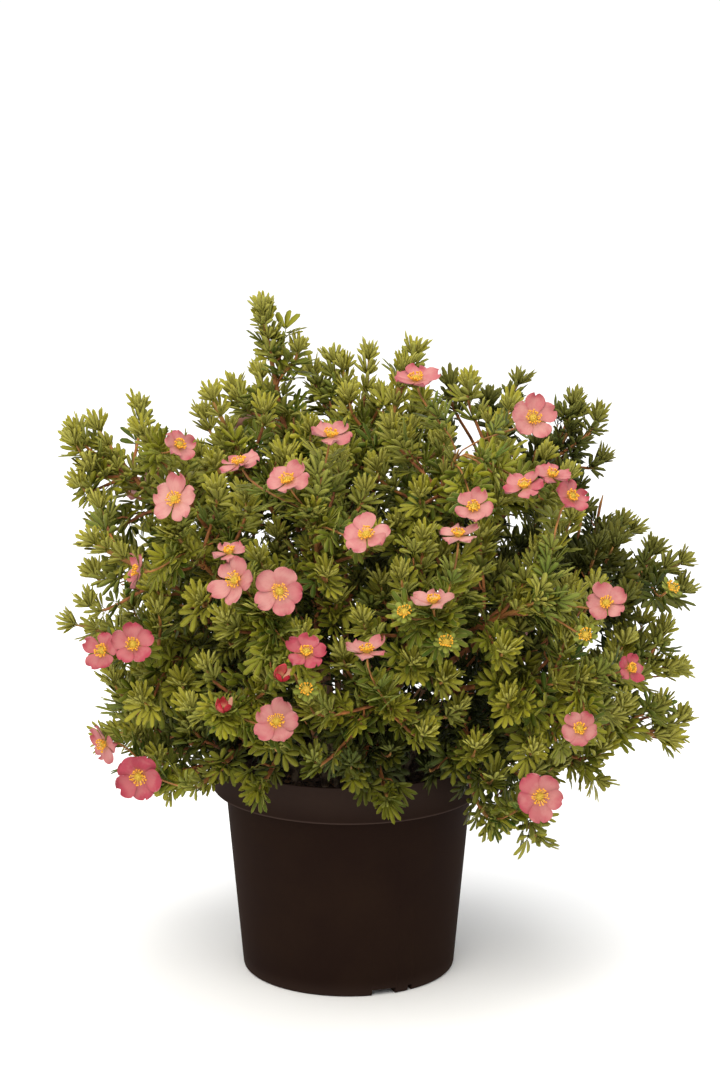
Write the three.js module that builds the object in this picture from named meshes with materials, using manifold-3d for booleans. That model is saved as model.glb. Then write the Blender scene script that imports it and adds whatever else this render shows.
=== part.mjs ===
// Potted shrubby cinquefoil: a dwarf flowering shrub of forty-three shoots in a plain round nursery pot.
// Millimetres, +Z up. The origin is the middle of the pot's base, on the surface that it stands on,
// and the side that the photograph shows faces -Y.
import * as THREE from "three";
import { mergeVertices } from "three/addons/utils/BufferGeometryUtils.js";
import Module from "manifold-3d";

const wasm = await Module();
wasm.setup();
const { Manifold, Mesh } = wasm;

const at = (x, y, z) => new THREE.Vector3(x, y, z);
const UP = at(0, 0, 1);

// Pot
const POT_SIDES = 32;
const POT_BASE_RADIUS = 72.7;
const POT_WALL_TOP_RADIUS = 84.5;
const POT_BAND_FOOT_RADIUS = 93.3;
const POT_RIM_RADIUS = 95;
const POT_BAND_FOOT = 129;
const POT_HEIGHT = 155;
const POT_WALL = 2;
const FOOT_RING_WIDTH = 9;
const FOOT_PAD_RADIUS = 34;
const CHANNEL_HEIGHT = 5;
const NOTCH_ANGLES = [19.4, 199.4];
const NOTCH_WIDTH = 17;
const NUB_WIDTH = 9.5;
const NUB_GAP = 3;
const NUB_RECESS = 0.5;
const DRAIN_HOLES = 6;
const DRAIN_RADIUS = 4.5;
const BASE_BEVEL = [1.2, 1.5];

// Soil
const SOIL_TOP = 136;
const SOIL_BUMP = 2.2;
const SOIL_RINGS = [60, 30, 0];
const SOIL_SIDES = POT_SIDES / 2;
const CLEARANCE = 0.35;

// Stems: each line is one stem, as the tips that its shoots reach.
// The first shoot is the leader, and the others fork from it. The last seven stems are on the far side.
const STEMS = [
  [[-56, 5, 452], [-90, -30, 404]],
  [[-3, 22, 414], [36, -8, 420]],
  [[108, -12, 394], [72, -92, 384]],
  [[158, 68, 372], [116, 62, 396]],
  [[226, 4, 284], [196, 66, 290]],
  [[184, -50, 132], [216, -24, 168], [222, -10, 214]],
  [[152, -122, 236], [126, -86, 118], [92, -112, 140]],
  [[58, -166, 292], [122, -144, 296]],
  [[28, -172, 232], [26, -128, 158]],
  [[-56, -166, 296], [-22, -142, 352]],
  [[-84, -158, 228], [-58, -124, 164]],
  [[-132, -74, 136], [-100, -104, 158], [-164, -22, 168]],
  [[-186, -8, 244], [-146, -88, 246]],
  [[-168, 6, 376], [-136, -46, 384]],
  [[-112, -104, 330], [-168, -56, 312]],
  [[-112, 118, 322], [-156, 92, 214]],
  [[-34, 146, 352], [-62, 172, 232]],
  [[62, 148, 344], [52, 182, 214]],
  [[134, 134, 262], [166, 106, 184]],
  [[-60, 82, 396], [14, 78, 410]],
];
const STEM_FOOT = 112;
const STEM_FREE_FROM = 142;
const BEND_STEPS = 24;
const CROWN_INNER_RADIUS = 13;
const CROWN_OUTER_RADIUS = 42;
const CROWN_LOW_TIP = 130;
const CROWN_HIGH_TIP = 450;
const CROWN_FULL_REACH = 150;
const LEVEL_TIP = 200;
const UPRIGHT_TIP = 400;
const LEADER_RADII = [2.6, 1.5];
const FORK_RADII = [1.2, 0.9];
const STALK_SIDES = 3;
const STALK_RADIUS = 0.9;
const CALYX_RADIUS = 2.6;
const CALYX_HEIGHT = 3;
const CALYX_GAP = 0.5;
const STALK_LEAST = 24;
const STALK_BEND = 0.35;
const STALK_TURNED_BACK_COST = 30;
const WOOD_SHOWS_TO = 0.6;
const FORK_OPENING = 0.5;
const FIRST_FORK = 0.34;
const FORK_STEP = 0.12;

// The leafy mass round each shoot
const MASS_FROM = 0.4;
const MASS_MOST_RADIUS = 27;
const MASS_LEAST_RADIUS = 6;
const MASS_SHARE_OF_ROOM = 0.44;
const MASS_SIDES = 8;
const MASS_PROFILE = [[0, 0], [0.75, 0.2], [1, 0.42], [0.95, 0.63], [0.7, 0.82], [0, 1]];
const MASS_HOLLOW = 0.25;
const MASS_SWEEP = 20;
const MASS_MARGIN = 3;
const MASS_SHRINK = 0.8;
const ROOM_SAMPLES = 16;

// Leaves: half an outline, from the foot of the stalk to the tip of the end leaflet, as
// [along the rib, out from the rib], and the thick points of the rib, as
// [along the rib, the outline point from which on the blade hangs on it]
const LEAF_OF_FIVE = {
  edge: [[0, 0.7], [5.2, 0.7], [15, 10.6], [9.8, 1], [22.4, 8.6], [13.8, 1], [20, 2.2], [28, 0]],
  rib: [[0, 0], [8.2, 1], [12.2, 3]],
};
const LEAF_OF_THREE = {
  edge: [[0, 0.7], [5.6, 0.7], [17, 8], [10, 1], [15.4, 2.2], [23, 0]],
  rib: [[0, 0], [8.6, 1]],
};
const LEAF_LEAST_LENGTH = 24;
const LEAF_MOST_LENGTH = 30;
const LEAF_ROOT = 2.5;
const LEAF_RIB = 0.55;
const LEAF_FOLD = 0.28;
const LEAF_ARCH = 0.012;
const LEAVES_ON_LEADER = 3;
const LEAVES_ON_FORK = 2;
const LEAVES_FROM = 0.93;
const LEAVES_STEP = 0.14;
const LEAF_TURN = 137.5;
const LEAF_TURN_WANDER = 25;
const LEAF_LEAN_AT_TIP = 0.45;
const LEAF_LEAN = [0.95, 1.3];
const LEAF_TRIES = 6;
const LEAF_TRY_TURN = 47;
const LEAF_SEED = 7852;

// Blooms as middle, the way it faces and radius: those that the photograph shows, then nine of the far side.
// An entry with several has blooms whose petals touch, and they make one node.
const BLOOMS = [
  [[-110, -85, 385], [0.5, -0.6, 0.6], 13],
  [[-111, -116, 356], [-0.4, -0.65, 0.6], 18],
  [[-69, -125, 382], [-0.3, -0.15, 0.95], 16],
  [[-38, -145, 375], [-0.2, -0.45, 0.85], 16],
  [[-11, -129, 401], [0.1, -0.3, 0.9], 15],
  [[44, -92, 430], [-0.1, -0.3, 0.95], 17],
  [[120, -90, 404], [0.1, -0.85, 0.5], 17],
  [
    [113, -134, 369], [-0.2, -0.35, 0.9], 15,
    [131, -121, 373], [0.2, -0.3, 0.9], 14,
    [143, -129, 361], [0.5, -0.6, 0.6], 13,
  ],
  [[80, -155, 360], [-0.1, -0.7, 0.7], 14],
  [[70, -168, 345], [0, -0.2, 1], 15],
  [[12, -172, 346], [-0.15, -0.6, 0.8], 17],
  [[-135, -120, 310], [-0.9, -0.3, 0.3], 13],
  [
    [-71, -165, 315], [-0.45, -0.75, 0.45], 18,
    [-75, -152, 330], [-0.2, -0.2, 0.95], 12,
  ],
  [[-43, -180, 312], [0.15, -0.95, 0.2], 18],
  [[-160, -104, 252], [-0.45, -0.8, 0.35], 15],
  [[-139, -129, 263], [0.1, -0.85, 0.45], 16],
  [[-26, -189, 274], [0.05, -0.6, 0.8], 15],
  [[12, -193, 276], [0, -0.2, 0.97], 15],
  [[54, -185, 306], [0, -0.15, 0.98], 16],
  [[-45, -184, 227], [-0.05, -0.7, 0.7], 17],
  [[-162, -75, 180], [-0.75, -0.55, -0.1], 16],
  [[-138, -103, 166], [-0.1, -0.98, -0.05], 18.5],
  [[166, -139, 293], [-0.15, -0.75, 0.65], 15],
  [[183, -125, 246], [0.5, -0.7, 0.4], 11],
  [[150, -150, 212], [-0.3, -0.7, 0.6], 14],
  [[124, -150, 167], [0.15, -0.95, 0.2], 18],
  [[-72, 128, 352], [-0.3, 0.75, 0.6], 17],
  [[16, 158, 346], [0.1, 0.75, 0.65], 18],
  [[-142, 112, 312], [-0.6, 0.55, 0.55], 17],
  [[-22, 186, 318], [-0.1, 0.9, 0.4], 18],
  [[106, 154, 328], [0.4, 0.75, 0.5], 16],
  [[178, 112, 268], [0.75, 0.5, 0.4], 16],
  [[-106, 160, 238], [-0.5, 0.8, 0.3], 18],
  [[24, 196, 244], [0.1, 0.95, 0.3], 16],
  [[122, 158, 202], [0.55, 0.8, 0.2], 17],
];
const OPENING_BUDS = [
  [[-43, -184, 256], [0.35, -0.6, 0.7]],
  [[-79, -171, 231], [0, -0.5, 0.86]],
];
const SEED_HEADS = [
  [[62, -188, 280], [0.1, -0.7, 0.7]],
  [[153, -148, 274], [-0.3, -0.7, 0.6]],
  [[213, -66, 284], [0.5, -0.5, 0.7]],
  [[36, -189, 300], [-0.2, -0.7, 0.7]],
  [[-26, -190, 250], [0, -0.8, 0.6]],
];
const PETALS = 5;
const PETAL_OUTLINE = [[-36, 0.5, 0], [-21, 0.93, 0.045], [0, 1, 0], [21, 0.93, -0.045]];
const SEPAL_OUTLINE = [[-36, 0.5, 0], [0, 1, 0]];
const CUP = 0.2;
const BOSS_RADIUS = 4.2;
const BOSS_FOOT = 0.6;
const BOSS_HEIGHT = 3;
const BACK_DEPTH = 1.8;
const SEED_HEAD_RADIUS = 7;
const SEED_BOSS_RADIUS = 3;
const BUD_PROFILE = [[0, -1.5], [4.2, 2], [5.2, 7], [3.2, 12], [0, 13]];
const BUD_DEPTH = 1.5;

const COLOURS = {
  pot: "#2b2321",
  soil: "#3a2a1f",
  bark: "#8a4f30",
  mass: "#4c6524",
  leaf: "#7a9438",
  petal: "#e98ba0",
  petalBack: "#f0b8b4",
  boss: "#e0a81e",
  bud: "#c22a3c",
  sepal: "#8d9a45",
};

// Numbers between 0 and 1 that are the same on every run
function seeded(seed) {
  let state = seed;
  return () => {
    state = (Math.imul(state, 1664525) + 1013904223) >>> 0;
    return state / 4294967296;
  };
}

// Gives every vertex of a geometry one colour
function paint(geometry, colour) {
  const { r, g, b } = new THREE.Color(colour);
  const count = geometry.getAttribute("position").count;
  const colours = Float32Array.from({ length: count * 3 }, (_, i) => [r, g, b][i % 3]);
  return geometry.setAttribute("color", new THREE.BufferAttribute(colours, 3));
}

// A painted geometry as a solid that can be joined and cut
function solidOf(geometry) {
  const bare = new THREE.BufferGeometry();
  bare.setAttribute("position", geometry.getAttribute("position"));
  bare.setAttribute("color", geometry.getAttribute("color"));
  if (geometry.index) bare.setIndex(geometry.index);
  const merged = mergeVertices(bare, 1e-4);
  const { position, color } = merged.attributes;
  const vertices = [];
  for (let i = 0; i < position.count; i++) {
    vertices.push(position.getX(i), position.getY(i), position.getZ(i));
    vertices.push(color.getX(i), color.getY(i), color.getZ(i));
  }
  const faces = [];
  for (let i = 0; i < merged.index.count; i += 3) {
    const face = [0, 1, 2].map((k) => merged.index.getX(i + k));
    if (new Set(face).size === 3) faces.push(...face);
  }
  const mesh = new Mesh({
    numProp: 6,
    vertProperties: Float32Array.from(vertices),
    triVerts: Uint32Array.from(faces),
  });
  mesh.merge();
  return new Manifold(mesh);
}

function nodeOf(name, solid, finish) {
  const mesh = solid.getMesh();
  const vertices = [];
  const colours = [];
  for (let i = 0; i < mesh.vertProperties.length; i += mesh.numProp) {
    vertices.push(...mesh.vertProperties.subarray(i, i + 3));
    colours.push(...mesh.vertProperties.subarray(i + 3, i + 6));
  }
  const geometry = new THREE.BufferGeometry();
  geometry.setAttribute("position", new THREE.Float32BufferAttribute(vertices, 3));
  geometry.setAttribute("color", new THREE.Float32BufferAttribute(colours, 3));
  geometry.setIndex([...mesh.triVerts]);
  const material = new THREE.MeshStandardMaterial({
    vertexColors: true,
    flatShading: true,
    metalness: 0,
    ...finish,
  });
  const node = new THREE.Mesh(geometry, material);
  node.name = name;
  return node;
}

// A geometry from triangles given as three points and a colour
function geometryOf(triangles) {
  const points = triangles.flatMap(([a, b, c]) => [a, b, c]);
  const geometry = new THREE.BufferGeometry().setFromPoints(points);
  const colours = triangles.flatMap(([, , , colour]) => {
    const { r, g, b } = new THREE.Color(colour);
    return [r, g, b, r, g, b, r, g, b];
  });
  return geometry.setAttribute("color", new THREE.Float32BufferAttribute(colours, 3));
}

// Bends a geometry that stands on +Y from 0 to 1 onto a stretch of a curve
function bendAlong(geometry, curve, from, to) {
  const frames = curve.computeFrenetFrames(BEND_STEPS);
  const position = geometry.getAttribute("position");
  for (let i = 0; i < position.count; i++) {
    const share = THREE.MathUtils.clamp(from + (to - from) * position.getY(i), 0, 1);
    const step = Math.round(share * BEND_STEPS);
    const point = curve
      .getPointAt(share)
      .addScaledVector(frames.binormals[step], position.getX(i))
      .addScaledVector(frames.normals[step], position.getZ(i));
    position.setXYZ(i, point.x, point.y, point.z);
  }
  return geometry;
}

// A tapering round stem along a curve, as far as it shows. The foot of a leader goes on down into the soil.
function twig(curve, [footRadius, tipRadius], sides, steps, footHeight) {
  const rooted = footHeight === undefined ? 0 : 1;
  const straight = new THREE.CylinderGeometry(tipRadius, footRadius, 1, sides, steps + rooted);
  straight.translate(0, 0.5, 0);
  const position = straight.getAttribute("position");
  const low = new Set();
  for (let i = 0; i < position.count; i++) {
    if (rooted && position.getY(i) < 1e-6) low.add(i);
    position.setY(i, Math.max(0, (position.getY(i) * (steps + rooted) - rooted) / steps));
  }
  bendAlong(straight, curve, 0, WOOD_SHOWS_TO);
  low.forEach((i) => position.setZ(i, footHeight));
  return solidOf(paint(straight, COLOURS.bark));
}

// Turns a geometry so that its +Z faces one way and its +X is as near as can be to another, and moves it
function placed(geometry, middle, facing, along = at(1, 0.3, 0.1)) {
  const z = facing.clone().normalize();
  const x = along.clone().addScaledVector(z, -along.dot(z)).normalize();
  const y = z.clone().cross(x);
  return geometry.applyMatrix4(new THREE.Matrix4().makeBasis(x, y, z).setPosition(middle));
}

// Pot: one wall with a wide band at the rim, a ring and a pad to stand on, and a raised channel with holes
function pot() {
  const ring = POT_BASE_RADIUS - FOOT_RING_WIDTH;
  const profile = [
    [0, 0],
    [FOOT_PAD_RADIUS, 0],
    [FOOT_PAD_RADIUS, CHANNEL_HEIGHT],
    [ring, CHANNEL_HEIGHT],
    [ring, 0],
    [POT_BASE_RADIUS - BASE_BEVEL[0], 0],
    [POT_BASE_RADIUS, BASE_BEVEL[1]],
    [POT_WALL_TOP_RADIUS, POT_BAND_FOOT],
    [POT_BAND_FOOT_RADIUS, POT_BAND_FOOT],
    [POT_RIM_RADIUS, POT_HEIGHT],
    [POT_RIM_RADIUS - POT_WALL, POT_HEIGHT],
    [POT_BAND_FOOT_RADIUS - POT_WALL, POT_BAND_FOOT + POT_WALL],
    [POT_WALL_TOP_RADIUS - POT_WALL, POT_BAND_FOOT + POT_WALL],
    [POT_BASE_RADIUS - POT_WALL, CHANNEL_HEIGHT + POT_WALL],
    [0, CHANNEL_HEIGHT + POT_WALL],
  ];
  let body = solidOf(turned(profile, POT_SIDES, COLOURS.pot));
  for (let k = 0; k < DRAIN_HOLES; k++) {
    const angle = (k * 2 * Math.PI) / DRAIN_HOLES;
    const hole = upright(DRAIN_RADIUS, 6, 0, CHANNEL_HEIGHT + 2 * POT_WALL);
    const reach = (FOOT_PAD_RADIUS + ring) / 2;
    hole.translate(reach * Math.cos(angle), reach * Math.sin(angle), 0);
    body = body.subtract(solidOf(paint(hole, COLOURS.pot)));
  }
  for (const angle of NOTCH_ANGLES) {
    body = body.subtract(footNotch(angle, 0, NOTCH_WIDTH, ring));
    body = body.subtract(footNotch(angle, NOTCH_WIDTH / 2 + NUB_WIDTH + NUB_GAP / 2, NUB_GAP, ring));
  }
  return body;
}

// A slot through the foot ring, from the channel to the outside, so that water runs out.
// The wide one and the narrow one leave a nub between them.
function footNotch(angle, offset, width, ring) {
  const depth = 1.5 * FOOT_RING_WIDTH;
  const slot = new THREE.BoxGeometry(width, depth, 2 * (CHANNEL_HEIGHT - NUB_RECESS));
  slot.translate(offset, -(ring + depth / 2 - 1), 0);
  slot.rotateZ(THREE.MathUtils.degToRad(angle));
  return solidOf(paint(slot, COLOURS.pot));
}

// A profile of [radius, height] turned about +Z
function turned(profile, sides, colour) {
  const points = profile.map(([radius, height]) => new THREE.Vector2(radius, height));
  return paint(new THREE.LatheGeometry(points, sides).rotateX(Math.PI / 2), colour);
}

// A plain prism on +Z between two heights
function upright(radius, sides, foot, top) {
  const prism = new THREE.CylinderGeometry(radius, radius, top - foot, sides);
  return prism.rotateX(Math.PI / 2).translate(0, 0, (foot + top) / 2);
}

// Soil: fills the pot, uneven on top, with a plain hole for the foot of each stem
function soil(feet) {
  const inner = (height) =>
    THREE.MathUtils.mapLinear(height, 0, POT_BAND_FOOT, POT_BASE_RADIUS, POT_WALL_TOP_RADIUS) -
    POT_WALL - 2 * CLEARANCE;
  const floor = CHANNEL_HEIGHT + POT_WALL + CLEARANCE;
  const edge = POT_BAND_FOOT - 1;
  const top = SOIL_RINGS.map((radius) => [radius, SOIL_TOP]);
  const profile = [[0, floor], [inner(floor), floor], [inner(edge), edge], ...top];
  const geometry = turned(profile, SOIL_SIDES, COLOURS.soil);
  const position = geometry.getAttribute("position");
  for (let i = 0; i < position.count; i++) {
    if (position.getZ(i) < SOIL_TOP - 1) continue;
    const [x, y] = [position.getX(i), position.getY(i)];
    position.setZ(i, SOIL_TOP + SOIL_BUMP * Math.sin(x / 9 + 1) * Math.cos(y / 7 - 0.6));
  }
  const holes = feet.map(({ x, y }) => {
    const radius = (LEADER_RADII[0] + 1.2 * CLEARANCE) * Math.SQRT2;
    const hole = upright(radius, 4, STEM_FOOT - CLEARANCE, SOIL_TOP + 9);
    return solidOf(paint(hole.translate(x, y, 0), COLOURS.soil));
  });
  return solidOf(geometry).subtract(Manifold.union(holes));
}

// Where a stem leaves the soil: the lower and farther its leader reaches, the farther out it stands
function footOf([x, y, z]) {
  const height = THREE.MathUtils.inverseLerp(CROWN_HIGH_TIP, CROWN_LOW_TIP, z);
  const spread = Math.min(1, Math.hypot(x, y) / CROWN_FULL_REACH);
  const radius = CROWN_INNER_RADIUS + (CROWN_OUTER_RADIUS - CROWN_INNER_RADIUS) * height * spread;
  return at(x, y, 0).setLength(radius).setZ(STEM_FREE_FROM);
}

// A high shoot arrives pointing up, a level one pointing out, and one that ends low bends over and down
function arrival(tip, reach) {
  const rise = THREE.MathUtils.clamp((tip.z - LEVEL_TIP) / (UPRIGHT_TIP - LEVEL_TIP), -0.5, 1);
  const lift = rise > 0 ? -0.3 * rise : -0.8 * rise;
  return at(tip.x * 0.75, tip.y * 0.75, tip.z + lift * reach);
}

function leaderCurve(foot, tip) {
  const reach = foot.distanceTo(tip);
  const start = at(foot.x + tip.x * 0.06, foot.y + tip.y * 0.06, foot.z + 0.42 * reach);
  return new THREE.CubicBezierCurve3(foot, start, arrival(tip, reach), tip);
}

function forkCurve(leader, share, tip) {
  const foot = leader.getPointAt(share);
  const reach = foot.distanceTo(tip);
  const ahead = tip.clone().sub(foot).normalize().lerp(leader.getTangentAt(share), FORK_OPENING);
  const start = foot.clone().addScaledVector(ahead, 0.35 * reach);
  return new THREE.CubicBezierCurve3(foot, start, arrival(tip, reach), tip);
}

function growStem(tips) {
  const [first, ...others] = tips.map((tip) => at(...tip));
  const foot = footOf(tips[0]);
  const leader = leaderCurve(foot, first);
  const forks = others.map((tip, k) => forkCurve(leader, FIRST_FORK + k * FORK_STEP, tip));
  const wood = [twig(leader, LEADER_RADII, 4, 3, STEM_FOOT)];
  forks.forEach((fork) => wood.push(twig(fork, FORK_RADII, 4, 3)));
  return { foot, shoots: [leader, ...forks], solids: wood };
}

// A flower or a seed head: one lobed skin, hollowed like a saucer, with a boss in the middle
function lobed(radius, outline, cup, bossRadius, front, back, boss) {
  const rim = [];
  for (let k = 0; k < PETALS; k++)
    for (const [turn, reach, wave] of outline) {
      const angle = THREE.MathUtils.degToRad(turn + (k * 360) / PETALS);
      const r = radius * reach;
      rim.push(at(r * Math.cos(angle), r * Math.sin(angle), radius * (cup * reach * reach + wave)));
    }
  const foot = Array.from({ length: PETALS }, (_, k) => {
    const angle = (k * 2 * Math.PI) / PETALS;
    return at(bossRadius * Math.cos(angle), bossRadius * Math.sin(angle), BOSS_FOOT);
  });
  const top = at(0, 0, BOSS_HEIGHT);
  const under = at(0, 0, -BACK_DEPTH);
  const triangles = [];
  rim.forEach((point, i) => {
    const next = rim[(i + 1) % rim.length];
    const k = Math.floor(i / outline.length);
    triangles.push([foot[k], point, next, front], [under, next, point, back]);
  });
  for (let k = 0; k < PETALS; k++) {
    const n = (k + 1) % PETALS;
    triangles.push([foot[k], rim[n * outline.length], foot[n], front]);
    triangles.push([foot[k], foot[n], top, boss]);
  }
  return geometryOf(triangles);
}

const bloom = (radius) =>
  lobed(radius, PETAL_OUTLINE, CUP, BOSS_RADIUS, COLOURS.petal, COLOURS.petalBack, COLOURS.boss);
const seedHead = () =>
  lobed(SEED_HEAD_RADIUS, SEPAL_OUTLINE, CUP, SEED_BOSS_RADIUS, COLOURS.sepal, COLOURS.sepal, COLOURS.boss);
const openingBud = () => turned(BUD_PROFILE, 6, COLOURS.bud);

// The place on any shoot from which a stalk can reach a head best: near, and not bent back
function nearestShoot(stems, seat) {
  let best = { cost: Infinity };
  for (const stem of stems)
    for (const shoot of stem.shoots)
      for (let share = 0.4; share < 0.96; share += 0.05) {
        const from = shoot.getPointAt(share);
        const way = seat.clone().sub(from);
        const forward = way.clone().normalize().dot(shoot.getTangentAt(share));
        const cost = Math.max(way.length(), STALK_LEAST) + STALK_TURNED_BACK_COST * (1 - forward);
        if (cost < best.cost) best = { cost, stem, shoot, share, from };
      }
  return best;
}

// Grows a stalk with a calyx from the nearest shoot to the back of a head
function growStalk(stems, middle, facing, depth) {
  const out = facing.clone().normalize();
  const top = middle.clone().addScaledVector(out, -(depth + CALYX_GAP));
  const { stem, shoot, share, from } = nearestShoot(stems, top);
  const reach = from.distanceTo(top);
  const stalk = new THREE.CubicBezierCurve3(
    from,
    from.clone().addScaledVector(shoot.getTangentAt(share), STALK_BEND * reach),
    top.clone().addScaledVector(out, -STALK_BEND * reach),
    top,
  );
  const neck = 1 - CALYX_HEIGHT / stalk.getLength();
  const profile = [[0, 0], [1, 0], [1, 0.5], [0.85, neck], [CALYX_RADIUS / STALK_RADIUS, 1], [0, 1]];
  const points = profile.map(([radius, along]) => new THREE.Vector2(radius * STALK_RADIUS, along));
  const straight = new THREE.LatheGeometry(points, STALK_SIDES);
  stem.solids.push(solidOf(paint(bendAlong(straight, stalk, 0, 1), COLOURS.bark)));
  return stem;
}

// The blooms of one entry of the list
function bloomsOf(entry) {
  const blooms = [];
  for (let i = 0; i < entry.length; i += 3)
    blooms.push({ middle: at(...entry[i]), facing: at(...entry[i + 1]), radius: entry[i + 2] });
  return blooms;
}

function growBlooms(stems) {
  return BLOOMS.map((entry) => {
    const blooms = bloomsOf(entry);
    blooms.forEach(({ middle, facing }) => growStalk(stems, middle, facing, BACK_DEPTH));
    return Manifold.union(
      blooms.map(({ middle, facing, radius }) => solidOf(placed(bloom(radius), middle, facing))),
    );
  });
}

function growOpeningBuds(stems) {
  return OPENING_BUDS.map(([middle, facing]) => {
    growStalk(stems, at(...middle), at(...facing), BUD_DEPTH);
    return solidOf(placed(openingBud(), at(...middle), at(...facing)));
  });
}

// A seed head is one body with its stalk, which reaches into its back
function growSeedHeads(stems) {
  for (const [middle, facing] of SEED_HEADS) {
    const stem = growStalk(stems, at(...middle), at(...facing), BACK_DEPTH - 2 * CALYX_GAP);
    stem.solids.push(solidOf(placed(seedHead(), at(...middle), at(...facing))));
  }
}

// Joins solids into one body. The small hollows that they close in among them are filled.
function joined(solids) {
  const shells = Manifold.union(solids).simplify(0.01).decompose();
  return shells.reduce((largest, shell) => (shell.volume() > largest.volume() ? shell : largest));
}

// A solid with its box, to test quickly what it comes near
function boxed(solid) {
  const { min, max } = solid.boundingBox();
  return { solid, box: new THREE.Box3(at(...min), at(...max)).expandByScalar(CLEARANCE) };
}

const keepsClear = (one, others) =>
  others.every(
    (other) =>
      !one.box.intersectsBox(other.box) || one.solid.minGap(other.solid, 2 * CLEARANCE) > CLEARANCE,
  );

// Every head as a ball that the inner foliage stays out of
function headBalls() {
  const small = [...OPENING_BUDS, ...SEED_HEADS];
  return [
    ...BLOOMS.flatMap(bloomsOf),
    ...small.map(([middle]) => ({ middle: at(...middle), radius: SEED_HEAD_RADIUS })),
  ];
}

// How far out the inner foliage of a shoot may reach at a point, for the other shoots, the heads and the rim
function roomAt(point, shoot, samples, heads) {
  let room = MASS_MOST_RADIUS;
  for (const sample of samples)
    if (sample.shoot !== shoot) room = Math.min(room, MASS_SHARE_OF_ROOM * sample.point.distanceTo(point));
  for (const { middle, radius } of heads)
    room = Math.min(room, middle.distanceTo(point) - radius - MASS_MARGIN);
  const rimward = Math.hypot(Math.hypot(point.x, point.y) - POT_RIM_RADIUS, point.z - POT_HEIGHT);
  return Math.max(MASS_LEAST_RADIUS, Math.min(room, rimward - MASS_MARGIN));
}

// The dense inner foliage of one shoot, which its leaves stand out of: every other point of a turned
// outline stands out as a spike that is swept forward, and the points between are hollows
function massOf(shoot, room) {
  const rings = MASS_PROFILE.length;
  const profile = MASS_PROFILE.map(([radius, along]) => new THREE.Vector2(radius, along));
  const geometry = new THREE.LatheGeometry(profile, MASS_SIDES);
  const position = geometry.getAttribute("position");
  const sweep = MASS_SWEEP / ((1 - MASS_FROM) * shoot.getLength());
  for (let side = 0; side <= MASS_SIDES; side++)
    for (let ring = 1; ring < rings - 1; ring++) {
      const i = side * rings + ring;
      const spike = (side + ring) % 2 === 0;
      const [x, along, z] = [position.getX(i), position.getY(i), position.getZ(i)];
      const radius = (spike ? 1 : MASS_HOLLOW) * room(MASS_FROM + (1 - MASS_FROM) * along);
      position.setXYZ(i, x * radius, along + (spike ? sweep : 0), z * radius);
    }
  geometry.setIndex(splitAtHollows(rings));
  return paint(bendAlong(geometry, shoot, MASS_FROM, 1), COLOURS.mass);
}

// Splits the four-sided faces of the inner foliage from hollow to hollow, so that each spike stands free
function splitAtHollows(rings) {
  const faces = [];
  for (let side = 0; side < MASS_SIDES; side++)
    for (let ring = 0; ring < rings - 1; ring++) {
      const near = side * rings + ring;
      const [next, far, ahead] = [near + rings, near + rings + 1, near + 1];
      if ((side + ring) % 2 === 0) faces.push(near, next, ahead, far, ahead, next);
      else faces.push(near, next, far, near, far, ahead);
    }
  return faces;
}

// The middle of the face of the inner foliage that lies one way from a point on its shoot
function faceOf(mass, from, way) {
  const [hit] = new THREE.Raycaster(from, way).intersectObject(mass);
  const corners = [hit.face.a, hit.face.b, hit.face.c];
  const position = mass.geometry.getAttribute("position");
  return corners
    .reduce((sum, i) => sum.add(new THREE.Vector3().fromBufferAttribute(position, i)), at(0, 0, 0))
    .divideScalar(3);
}

// A leaf as one thin arched blade whose edge is cut to the rib between the leaflets.
// +X runs along the rib and +Z is the upper face.
function leaf({ edge, rib }, length) {
  const scale = length / edge[edge.length - 1][0];
  const lie = (x, y, rise) =>
    at(x * scale, y * scale, rise + LEAF_FOLD * Math.abs(y) * scale - LEAF_ARCH * (x * scale) ** 2);
  const triangles = [];
  for (const side of [1, -1])
    for (const rise of [LEAF_RIB, -LEAF_RIB]) {
      const rim = (i) => lie(edge[i][0], side * edge[i][1], 0);
      const add = (a, b, c) => triangles.push([a, ...(side * rise > 0 ? [c, b] : [b, c]), COLOURS.leaf]);
      rib.forEach(([along, first], k) => {
        const last = k + 1 < rib.length ? rib[k + 1][1] : edge.length - 1;
        const thick = lie(along, 0, rise);
        for (let i = first; i < last; i++) add(thick, rim(i), rim(i + 1));
        if (k + 1 < rib.length) add(thick, rim(last), lie(rib[k + 1][0], 0, rise));
      });
    }
  const [left, right] = [lie(0, edge[0][1], 0), lie(0, -edge[0][1], 0)];
  triangles.push([left, right, lie(0, 0, LEAF_RIB), COLOURS.leaf]);
  triangles.push([right, left, lie(0, 0, -LEAF_RIB), COLOURS.leaf]);
  return geometryOf(triangles);
}

// Makes the inner foliage of a shoot as wide as its room, or narrower if it would touch another piece
function growMass(shoot, others, samples, heads) {
  let share = 1;
  for (;;) {
    const room = (along) => share * roomAt(shoot.getPointAt(along), shoot, samples, heads);
    const geometry = massOf(shoot, room);
    const mass = boxed(solidOf(geometry));
    if (keepsClear(mass, others)) return { geometry, mass };
    share *= MASS_SHRINK;
  }
}

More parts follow.
